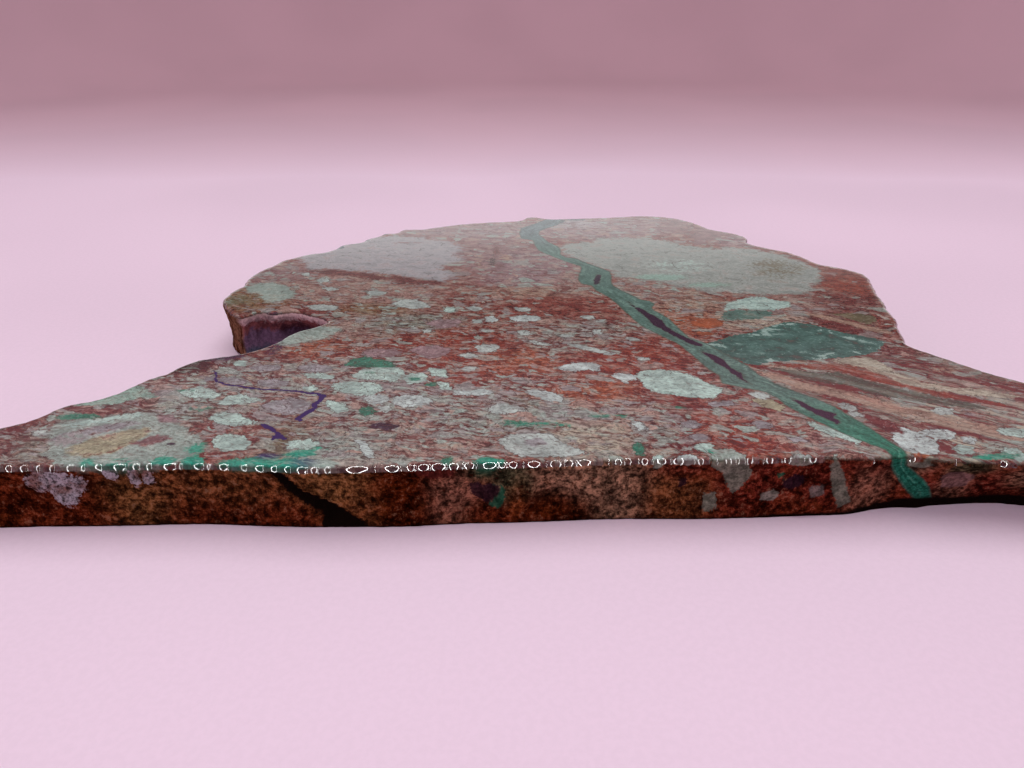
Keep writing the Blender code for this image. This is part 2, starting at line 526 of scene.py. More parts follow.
frontMarks = {
    "crack": [(-30.0, -0.2, 0.45), (-29.2, -1.6, 0.7), (-28.4, -3.0, 0.9), (-26.8, -4.2, 1.2),
              (-25.4, -5.2, 1.6), (-24.3, -6.2, 2.0), (-23.2, -7.6, 2.5)],
    "crackDepth": 0.75,
    "crust": [(-53.0, -1.9, 2.6, 1.5), (-51.9, -3.6, 1.5, 1.9), (-54.8, -2.2, 1.3, 1.2),
              (-46.9, -1.2, 0.9, 1.1), (-44.5, -1.6, 0.8, 1.3), (-43.1, -1.7, 0.7, 1.2),
              (-50.6, -2.6, 1.3, 1.6)],
    "crustHeight": 0.22,
    "lipHeight": 0.95,              # below this the foot stands back, further under the right wing
    "lipRecess": 0.35,
    "recessGrows": (36, 42),
    "footFollows": 28,              # right of here the foot follows the lean of the side
    "footEvening": 600,
    "footShadowHeights": ((20, 33, 38), (0.35, 0.75, 1.85)),      # x, and how high the painted shadow along the foot reaches there
    "beads": [(-62.0, 0.5), (-60.3, 0.35), (-57.4, 0.4), (-55.9, 0.35), (-54.2, 0.3), (-52.9, 0.35),
              (-51.2, 0.5), (-49.7, 0.35), (-48.3, 0.5), (-46.5, 0.7), (-44.4, 0.4), (-43.0, 0.35),
              (-41.3, 0.8), (-39.7, 0.3), (-38.2, 0.8), (-36.8, 0.3), (-35.6, 0.5), (-33.2, 0.6),
              (-31.7, 0.7), (-30.2, 0.7), (-28.7, 0.6), (-27.3, 0.6), (-25.9, 0.4), (-24.5, 0.35),
              (-21.8, 1.2), (-17.9, 0.8), (-15.9, 0.5), (-14.6, 0.6), (-13.1, 0.8), (-11.5, 0.6),
              (-9.9, 0.5), (-7.8, 0.8), (-6.5, 0.4), (-5.3, 0.5), (-3.1, 0.7), (-0.8, 0.6), (0.5, 0.5),
              (2.3, 0.8), (5.7, 0.4), (6.7, 0.4), (8.4, 0.35), (10.3, 0.5), (12.1, 0.6), (14.3, 0.35),
              (17.2, 0.3), (18.1, 0.3), (19.5, 0.35), (21.6, 0.35), (23.6, 0.4), (26.2, 0.4), (36.6, 0.3),
              (45.7, 0.4)],
}

# Colours of the front side: x, millimetres below the top edge, half width, half height, colour.

sidePatches = [
    (-60, -4, 9, 6, "maroon"), (-45, -5, 3.4, 2.8, "oliveBrown"), (-50, -6, 3.0, 2.5, "maroon"),
    (-36, -2.6, 7, 3, "rustBrown"), (-38, -6.5, 5, 2.4, "maroon"), (-30.5, -6.5, 3, 2, "maroon"),
    (-24, -2.2, 3.0, 3, "oliveBrown"), (-21.5, -5.4, 2, 3, "rustBrown"),
    (-17.3, -4.4, 3.0, 4, "deepRust"), (-13.4, -0.6, 2.2, 0.9, "darkRed"),
    (-11.8, -4.3, 2.0, 3.4, "faceMauve"), (-8.4, -0.9, 1.7, 1.0, "faceGreen"),
    (-9.4, -6.8, 2.0, 1.4, "maroon"), (-5.2, -2.4, 1.6, 2.0, "faceGreen"),
    (-4.9, -4.4, 0.8, 2.0, "rustOrange"), (-0.8, -6.4, 3.0, 1.7, "deepRust"),
    (2.8, -2.4, 4.6, 2.4, "faceBeige"), (6.0, -5.5, 2.2, 2.4, "faceBeige"),
    (11.8, -5.0, 3.2, 2.8, "rustBrown"), (12.6, -1.4, 2.4, 1.2, "darkRed"), (21, -4, 4, 4.5, "darkRed"),
    (24, -6.6, 4, 1.6, "maroon"), (27.5, -3, 3, 4, "darkRed"), (32.6, -4.5, 1.8, 3, "faceMauve"),
    (33, -1, 1.2, 1.6, "darkRed"), (37, -1.2, 1.4, 1.3, "faceBeige"), (38.6, -3.4, 1.6, 3, "darkRed"),
    (42.5, -1.5, 2.4, 1.2, "faceGreen"), (41.9, -4.6, 2.0, 2.4, "faceMauve"),
    (45.6, -4, 2.0, 3.6, "darkRed"), (48.5, -2.6, 1.8, 1.6, "faceBeige"), (56, -4, 6, 4, "darkRed"),
]


def crackAt(x, v):
    # 1 on the crack's middle line, 0 outside it
    line = np.array(frontMarks["crack"])[::-1]
    middle = np.interp(v, line[:, 1], line[:, 0])
    half = np.interp(v, line[:, 1], line[:, 2])
    return float(np.clip(1 - ((x - middle) / half) ** 2, 0, 1)) if v < -0.4 else 0.0


def crustAt(x, v):
    best = 0.0
    for cx, cv, rx, rv in frontMarks["crust"]:
        best = max(best, 1 - ((x - cx) / rx) ** 2 - ((v - cv) / rv) ** 2)
    return best


def roughness(points, front):
    # the outline's own roughness, out (+) or in (-)
    jag = np.zeros(len(points))
    for i, (x, y) in enumerate(points):
        wide = fractal(x * 0.45, y * 0.45, 3.7, 3)
        fine = fractal(x * 1.3, y * 1.3, 9.1, 2)
        height = shape["jagSides"] * (1 - front[i]) + shape["jagFront"] * front[i]
        jag[i] = (0.75 * wide + 0.35 * fine) * height
    return jag


def cadInset(points, outward):
    # how far the CAD slab's side stands back at each height
    tree = BVHTree.FromPolygons([v.co / mm for v in slabNode.data.vertices],
                                [p.vertices[:] for p in slabNode.data.polygons])
    count = len(points)
    inset = np.zeros((len(shape["heights"]), count))
    reach = 0.9
    for level, height in enumerate(shape["heights"]):
        z = min(max(height, shape["chamfer"] + 0.01), shape["sideTop"] - 0.02)
        for i in range(count):
            start = points[i] + outward[i] * reach
            hit = tree.ray_cast(Vector((*start, z)), Vector((*-outward[i], 0)), 9.0)
            inset[level, i] = max(0.0, hit[3] - reach) if hit[0] is not None else np.nan
        row = inset[level]
        good = ~np.isnan(row)
        inset[level] = np.interp(np.arange(count), np.flatnonzero(good), row[good])
    return evened(inset.T, 2).T


def addFoot(inset, points, front):
    # the foot below the front side's lip, and the chamfer
    lip = shape["heights"].index(frontMarks["lipHeight"])
    recess = frontMarks["lipRecess"] * smooth(points[:, 0], *frontMarks["recessGrows"])
    foot = evened(inset[lip], frontMarks["footEvening"])
    follows = points[:, 0] >= frontMarks["footFollows"]
    foot = np.where(follows, np.maximum(foot, inset[lip] - 0.3), foot) + recess
    inset[:lip] = np.where(front > 0.5, foot, inset[:lip])
    inset[0] += shape["chamfer"] * (1 - 0.7 * front)
    inset[-1] = 0.0


def addRelief(inset, points, front):
    # the broken relief, the crack and the crust
    for level, height in enumerate(shape["heights"]):
        fade = float(smooth(shape["sideTop"] - height, 0.0, 1.3))
        for i, (x, y) in enumerate(points):
            lumps = fractal(x * 0.35, y * 0.35, height * 0.3, 3, 0.9)
            facets = abs(noise.noise(Vector((x * 0.9, y * 0.9, height * 0.75 + 20))))
            chips = noise.voronoi(Vector((x * 0.55, y * 0.55, height * 0.5)))[0][0]
            relief = shape["lumps"] * lumps - shape["facets"] * facets - shape["chips"] * chips
            relief *= 1 - front[i] * (0.45 + 0.45 * float(smooth(height, 1.6, 0.4)))
            drop = height - shape["thickness"]
            if y < shape["frontEnds"]:
                relief -= frontMarks["crackDepth"] * crackAt(x, drop) * float(smooth(height, 0.3, 2.2))
                relief += frontMarks["crustHeight"] * float(smooth(crustAt(x, drop), 0.0, 0.5))
            inset[level, i] -= relief * fade


def buildSide():
    # Rings of points from the underside up to the top face, and where they lie in the unfolded drawing.
    # The front side unfolds straight down.
    points = evened(resampled(cadRing(shape["sideTop"])), 3)
    outward = outwardOf(points)
    count = len(points)
    front = smooth(points[:, 1], shape["frontEnds"] + 2, shape["frontEnds"] - 1)
    edge = points + outward * roughness(points, front)[:, None]
    inset = cadInset(points, outward)
    addFoot(inset, points, front)
    addRelief(inset, points, front)
    away = outward * (1 - front)[:, None] + np.outer(front, (0, -1))
    shift = np.column_stack([np.zeros(count), (shape["frontLine"] - edge[:, 1]) * front])
    levels = []
    unfolded = []
    for level, height in enumerate(shape["heights"]):
        at = edge - outward * inset[level][:, None]
        levels.append(np.column_stack([at, np.full(count, height)]))
        drop = shape["thickness"] - height
        unfolded.append(edge + shift * float(smooth(drop, 0.8, 2.0)) + away * drop)
    unevenness = np.array([noise.noise(Vector((x * 0.5, y * 0.5, 5.5))) for x, y in points])
    radius = shape["edgeRadius"] + shape["edgeVaries"] * unevenness
    for step in range(1, shape["arcSteps"] + 1):
        turn = 0.5 * math.pi * step / shape["arcSteps"]
        at = edge - outward * (radius * (1 - math.cos(turn)))[:, None]
        levels.append(np.column_stack([at, shape["thickness"] - radius * (1 - math.sin(turn))]))
        unfolded.append(edge + away * (radius * (1 - 2 * turn / (0.5 * math.pi)) * 0.8)[:, None])
    inner = levels[-1][:, :2]
    unfolded[-1] = inner.copy()
    return levels, unfolded, inner


def insideRing(points, ring):
    found = np.zeros(len(points), bool)
    following = np.roll(ring, -1, axis=0)
    for start in range(0, len(points), 4000):
        x, y = points[start:start + 4000].T
        x0, y0 = ring.T
        x1, y1 = following.T
        spans = (y0[None] > y[:, None]) != (y1[None] > y[:, None])
        rise = np.where(y1 == y0, 1e-9, y1 - y0)
        crossing = x0 + (y[:, None] - y0) * ((x1 - x0) / rise)
        found[start:start + 4000] = ((x[:, None] < crossing) & spans).sum(1) % 2 == 1
    return found


def clearance(points, ring):
    best = np.zeros(len(points))
    for start in range(0, len(points), 4000):
        gap = points[start:start + 4000, None, :] - ring[None]
        best[start:start + 4000] = np.sqrt((gap ** 2).sum(2).min(1))
    return best


def gridInside(ring, frontGap, backGap, seed):
    dice = np.random.default_rng(seed)
    rows = []
    y = ring[:, 1].min()
    odd = False
    while y < ring[:, 1].max():
        gap = frontGap + (backGap - frontGap) * float(smooth(y, *shape["gridWidens"]))
        xs = np.arange(ring[:, 0].min() + (0.5 * gap if odd else 0), ring[:, 0].max(), gap)
        uneven = dice.uniform(-shape["gridUneven"], shape["gridUneven"], (len(xs), 2)) * gap
        rows.append(np.column_stack([xs, np.full(len(xs), y)]) + uneven)
        y += gap * 0.866
        odd = not odd
    grid = np.vstack(rows)
    grid = grid[insideRing(grid, ring)]
    return grid[clearance(grid, ring) > 0.62 * frontGap]


def filled(ring, grid):
    # triangles that fill the ring, through the grid's points
    flat = np.vstack([ring, grid])
    made = delaunay_2d_cdt([Vector(p) for p in flat], [], [list(range(len(ring)))], 1, 1e-6, False)
    points = np.array([v[:] for v in made[0]])
    triangles = np.array([face[:] for face in made[2]])
    triangles = triangles[insideRing(points[triangles].mean(1), ring)]
    print("filled", len(flat), "points, and", len(points) - len(flat), "more where the ring meets itself")
    return points, triangles.tolist()


def meshSlab():
    levels, unfolded, inner = buildSide()
    count = len(inner)
    rows = len(levels)
    vertices = [row for level in levels for row in level]
    flat = np.vstack(unfolded)
    faces = []
    for level in range(rows - 1):
        for i in range(count):
            j = (i + 1) % count
            a = level * count
            faces.append((a + i, a + j, a + count + j, a + count + i))
    topGrid = gridInside(inner, shape["gridFront"], shape["gridBack"], 11)
    topPoints, topFaces = filled(inner, topGrid)
    base = len(vertices)
    offset = (rows - 1) * count
    index = [offset + k if k < count else base + k - count for k in range(len(topPoints))]
    vertices += [(x, y, shape["thickness"]) for x, y in topPoints[count:]]
    faces += [tuple(index[k] for k in face) for face in topFaces]
    foot = levels[0][:, :2]
    underGrid = gridInside(foot, shape["gridUnder"], shape["gridUnder"], 12)
    underPoints, underFaces = filled(foot, underGrid)
    base = len(vertices)
    index = [k if k < count else base + k - count for k in range(len(underPoints))]
    vertices += [(x, y, 0.0) for x, y in underPoints[count:]]
    faces += [tuple(index[k] for k in reversed(face)) for face in underFaces]
    vertices = np.array(vertices)
    flat = np.vstack([flat, topPoints[count:], underPoints[count:]])
    mesh = bpy.data.meshes.new("slab")
    mesh.from_pydata((vertices * mm).tolist(), [], faces)
    mesh.shade_smooth()
    return mesh, vertices, flat


mesh, vertices, flat = meshSlab()
mesh.calc_loop_triangles()
print("slab mesh:", len(vertices), "points,", len(mesh.loop_triangles), "triangles")


# Ground colours: soft patches of the fine broken rock between the larger pieces.
# Each is x, y, half width, half height, colour, share of pale fragments in it.

groundDefault = ("brick", 0.34)
grounds = [
    (-61, -45, 4, 5, "deepRed", 0.35), (-56, -44, 3, 3, "greyGreen", 0.6),
    (-56, -37, 4, 2, "mauveBrown", 0.3), (-50, -36, 3, 1.6, "deepRed", 0.2),
    (-44, -36, 5, 3, "greyGreen", 0.75), (-47, -31, 5, 3, "mauveBrown", 0.7),
    (-38, -33, 7, 5, "mauveBrown", 0.9), (-37, -27, 7, 3, "mauveBrown", 0.8),
    (-33, -38, 5, 5, "mauveBrown", 0.7), (-35, -41, 4, 3, "brick", 0.3),
    (-32, -20, 5, 2.5, "orange", 0.35), (-37, -22, 3, 3, "deepRed", 0.3), (-27, -22, 4, 3, "brick", 0.6),
    (-45, -24, 3, 3, "purpleBrown", 0.3), (-23, -30, 6, 6, "mauveBrown", 1.0),
    (-21, -40, 6, 3, "mauveBrown", 0.75), (-24, -45, 5, 3, "greyMint", 0.5),
    (-30, -43, 2, 4, "olive", 0.3), (-14, -45, 5, 3, "pinkBrown", 0.5),
    (-13, -38, 5, 4, "mauveBrown", 0.95), (-4, -38, 5, 3, "greyGreen", 1.0),
    (3, -43, 4, 4, "cream", 0.35), (6, -37, 5, 2, "pinkBrown", 1.0), (11, -44, 3, 2.5, "deepRed", 0.6),
    (11, -38, 3, 3, "mauveBrown", 0.9), (4, -32, 5, 3, "orange", 0.3), (-5, -24, 4, 3, "orange", 0.25),
    (-13, -25, 5, 4, "brightBrick", 0.4), (-2, -30, 5, 2, "brick", 0.8),
    (-15, -16, 7, 4, "brightBrick", 0.35), (10, -22, 5, 5, "brightBrick", 0.12),
    (4, -15, 6, 4, "mauveBrown", 0.7), (-6, -12, 5, 3, "brick", 0.55), (2, -4, 8, 4, "brick", 0.12),
    (-12, 0, 6, 4, "brick", 0.5), (-22, 1, 6, 5, "pinkBrown", 0.45), (-21, -11, 6, 3, "greyGreen", 0.6),
    (-28, -12, 4, 3, "pinkBrown", 0.5), (-26, -5, 4, 2, "oliveBrown", 0.3),
    (-33, 7, 7, 3, "pinkBrown", 0.5), (-34, 2, 7, 3, "pinkBrown", 0.5),
    (-46, -1, 4, 4, "oliveBrown", 0.3), (-45, 11, 4, 4, "redMauve", 0.4), (-39, -8, 5, 2, "deepRed", 0.1),
    (-3, 8, 6, 3, "mauve", 0.15), (-3, 3, 6, 2, "beige", 0.3), (4, 6, 3, 4, "pinkBrown", 0.4),
    (-3, 17, 7, 6, "mauve", 0.35), (-10, 24, 5, 6, "redMauve", 0.25), (-8, 38, 9, 5, "mauve", 0.3),
    (-22, 38, 6, 3, "mauve", 0.2), (-18, 22, 3, 4, "mauve", 0.3), (11, 37, 7, 4, "mauve", 0.25),
    (8, 43, 5, 3, "grey", 0.2), (20, 42, 6, 5, "mauve", 0.3), (28, 43, 3, 5, "redMauve", 0.15),
    (35, 37, 3, 4, "redMauve", 0.15), (38, 31, 3, 3, "mauve", 0.1), (17, 3, 5, 5, "pinkBrown", 0.45),
    (22, -3, 4, 4, "beige", 0.45), (20, -9, 4, 4, "orange", 0.35), (30, -10, 5, 2, "cream", 0.3),
    (39, -3, 4, 3, "pinkBrown", 0.35), (47, -3, 5, 4, "deepRed", 0.15), (50, 6, 3, 4, "brightBrick", 0.1),
    (51, 12, 4, 3, "brick", 0.1), (46, 16, 3, 3, "brick", 0.1), (49, -11, 4, 4, "brick", 0.25),
    (43, -12, 4, 3, "deepRed", 0.15), (47, -22, 4, 4, "deepRed", 0.2), (52, -29, 4, 3, "deepRed", 0.15),
    (58, -33, 5, 4, "brick", 0.2), (60, -42, 7, 5, "mauveBrown", 0.5), (50, -37, 5, 3, "pinkBrown", 0.35),
    (36, -40, 2, 3, "deepRed", 0.2), (31, -33, 2, 2, "deepRed", 0.2), (45, -42, 5, 4, "brick", 0.6),
    (24, -38, 5, 4, "brick", 0.4), (18, -40, 4, 3, "brightBrick", 0.25),
    (21, -44, 4, 3, "brightBrick", 0.2), (15, -34, 5, 4, "brick", 0.15),
    (28, -44, 4, 2, "pinkBrown", 0.6),
]

# Large bodies: big clasts and the bands of the right wing, each an outline with a colour.

bodies = [
    ("grey", [(-44, 19), (-42, 16), (-40.6, 13.7), (-36, 13.7), (-30.9, 12.3), (-25.7, 10.9),
              (-21.7, 9.1), (-17.1, 7.7), (-15.1, 10), (-17.1, 13.7), (-18, 16.3), (-15.1, 17.7),
              (-14.6, 19.7), (-16, 21.7), (-15.1, 27), (-18, 31), (-24, 33.5), (-29, 34.5), (-33, 33),
              (-38, 29.5), (-42, 25), (-45, 21.5)]),
    ("deepRed", [(-41.5, 13.2), (-36.6, 13.6), (-32, 12.2), (-28.3, 10.6), (-25.7, 10.4), (-21.7, 8.6),
                 (-17.5, 7.4), (-17, 5.8), (-21.7, 6.2), (-26, 7.6), (-30, 8.7), (-34, 10.7), (-38, 12)]),
    ("clayGrey", [(12, 9.5), (15.7, 8.9), (18.6, 7.7), (20.9, 6.3), (22.9, 4.6), (25.7, 3.1), (28, 2),
                  (30.6, 1.4), (37, 1.2), (41, 1.8), (43.5, 3.3), (44.1, 5.4), (45.3, 7.2), (46.8, 9.3),
                  (47.8, 11.5), (48, 14.5), (46.5, 18), (44, 22), (40, 25.5), (36, 27), (32.4, 25.5),
                  (30.4, 26.7), (26.2, 28.5), (23.9, 31.7), (16.8, 32.9), (12.1, 32.6), (9.8, 30.2),
                  (5, 29), (3.3, 27), (4, 23), (5.3, 20.5), (7.7, 17.4), (9.7, 14.9), (11.6, 12.6)]),
    ("greyMint", [(-49.1, 4.9), (-47.7, 6.3), (-44.9, 7.1), (-43.1, 6), (-41.4, 3.7), (-40.3, 1.7),
                  (-40.6, -0.6), (-42, -2), (-43.7, -2.3), (-44.9, -0.9), (-45.7, 0.9), (-48, 2.3)]),
    ("greyMint", [(-56.9, -40.7), (-56, -39.7), (-54, -39.2), (-51, -38.2), (-48.3, -37.2),
                  (-46.3, -37.7), (-45, -39), (-42.5, -40.4), (-40.2, -42), (-38.6, -43.7),
                  (-38.4, -45.1), (-39.2, -47.6), (-42, -49.2), (-46, -49.4), (-50, -49.4),
                  (-52.3, -48.4), (-53.8, -46.6), (-54.9, -44.7), (-55.8, -42.2)]),
    ("tan", [(-52.6, -45.2), (-51, -43.2), (-48, -41.4), (-45.6, -40.8), (-45.2, -42.4), (-46.3, -44.2),
             (-47.2, -46), (-49.5, -47), (-51.8, -46.6)]),
    ("lilac", [(-55.4, -43.6), (-54.6, -42), (-51.8, -40.6), (-48.4, -39.4), (-47, -39.8), (-48.6, -41),
               (-51.4, -42.6), (-53.4, -44.6)]),
    ("redMauve", [(-46.1, -44.3), (-44.4, -42.3), (-42.2, -43.2), (-44.4, -44.8)]),
    ("mauve", [(-46.3, -37.9), (-44.1, -38.2), (-43, -39.6), (-44.7, -39.8)]),
    ("paleMint", [(-56, -40.4), (-54, -39.2), (-51, -38.2), (-48.3, -37.2), (-47.4, -38.2),
                  (-50.8, -39.6), (-54.2, -40.8)]),
    ("mint", [(-56.8, -35.3), (-54, -33), (-53, -31.5), (-51.3, -30.5), (-49.5, -32), (-48, -33.7),
              (-50.2, -34), (-51.3, -35.1), (-53.6, -35.7), (-55.5, -35.9)]),
    ("brightBrick", [(24.9, -25.4), (28, -24.6), (32, -24.4), (36.3, -24.4), (38.6, -25.1), (40.6, -26.9),
                     (42.3, -29.4), (45.7, -31.7), (48.9, -33.7), (52.5, -35.5), (52, -36.3),
                     (48.9, -34.6), (45.7, -33.7), (42, -31.1), (39.1, -29.4), (37.7, -27.7),
                     (35.7, -26.3), (32, -25.7), (28, -25.1)]),
    ("darkGreyGreen", [(28, -25.7), (31, -26.5), (33.5, -27.3), (36, -26.9), (37.6, -28.3), (39.5, -30),
                       (42.5, -31.8), (46, -34), (50, -36), (49, -36.8), (45, -35.6), (41.5, -34.4),
                       (38, -33), (36, -30.5), (33, -29.9), (30.5, -28.7)]),
    ("orangeCream", [(25.4, -26.2), (28.6, -27.6), (30.3, -29.6), (33.5, -31.2), (36.5, -33.2), (39, -35),
                     (42, -37), (45.5, -39), (49, -41), (53, -43.4), (52, -44.4), (48, -43.4),
                     (44, -41.6), (40.5, -39.4), (37.5, -37.1), (35, -35), (32.3, -33), (29.3, -31.4),
                     (27, -29.2)]),
    ("cream", [(36.2, -23.2), (39, -22.8), (41.5, -22.6), (43, -24.6), (43.3, -27.2), (45.3, -29.6),
               (48.3, -31), (52.3, -31.9), (55, -33.4), (54, -34), (50, -33.3), (46, -32), (42.9, -30.2),
               (41.2, -27.6), (39.2, -25.2), (36.6, -24.2)]),
    ("paleMint", [(26.8, -5.5), (28.1, -2.2), (30.2, -1), (32.6, 0.2), (34.4, -0.1), (35.9, -1.3),
                  (37.8, -2.2), (37.2, -4.3), (34.1, -5.5), (31.7, -5.2), (29, -4.9)]),
    ("veinGreen", [(25.6, -8.6), (26.8, -6.1), (29, -5.2), (31.4, -5.8), (33.8, -6.1), (33.2, -7.9),
                   (31.4, -8.8), (29, -9.5), (25.9, -9.5)]),
    ("olive", [(42.3, -7), (45.3, -6.7), (48.4, -7.6), (48.1, -9.8), (46.2, -11.3), (44.1, -8.8)]),
    ("deepRed", [(38.4, -8.8), (41.1, -8.5), (42.6, -10.4), (44.1, -12.2), (45, -14.3), (42.3, -13.4),
                 (40.2, -11.3)]),
    ("beige", [(38.2, -6.6), (41, -7.4), (43.5, -9.5), (46, -11.8), (48.6, -13.6), (48, -14.6),
               (45.2, -13.2), (42.5, -10.4), (40, -8.6)]),
    ("redMauve", [(28, 47), (29.8, 47.6), (30.1, 44.4), (29.2, 42), (29.8, 39.4), (27.4, 38.2),
                  (26.2, 39.1), (27.1, 41.7)]),
    ("redMauve", [(32.7, 39.1), (35.1, 39.9), (37.4, 38.8), (37.7, 36.7), (35.9, 33.8), (33.3, 31.4),
                  (31.8, 29.6), (28.9, 26.7), (29.8, 30.2), (30.1, 33.8), (31.2, 35.5)]),
    ("greyMint", [(-37.5, -15.5), (-36, -12.8), (-33.5, -12), (-31, -11.9), (-30, -13), (-31, -16),
                  (-34, -17.6), (-36.6, -18.6), (-37.9, -17.6)]),
]

# Clasts: broken pieces drawn one by one, under the name of their colour.

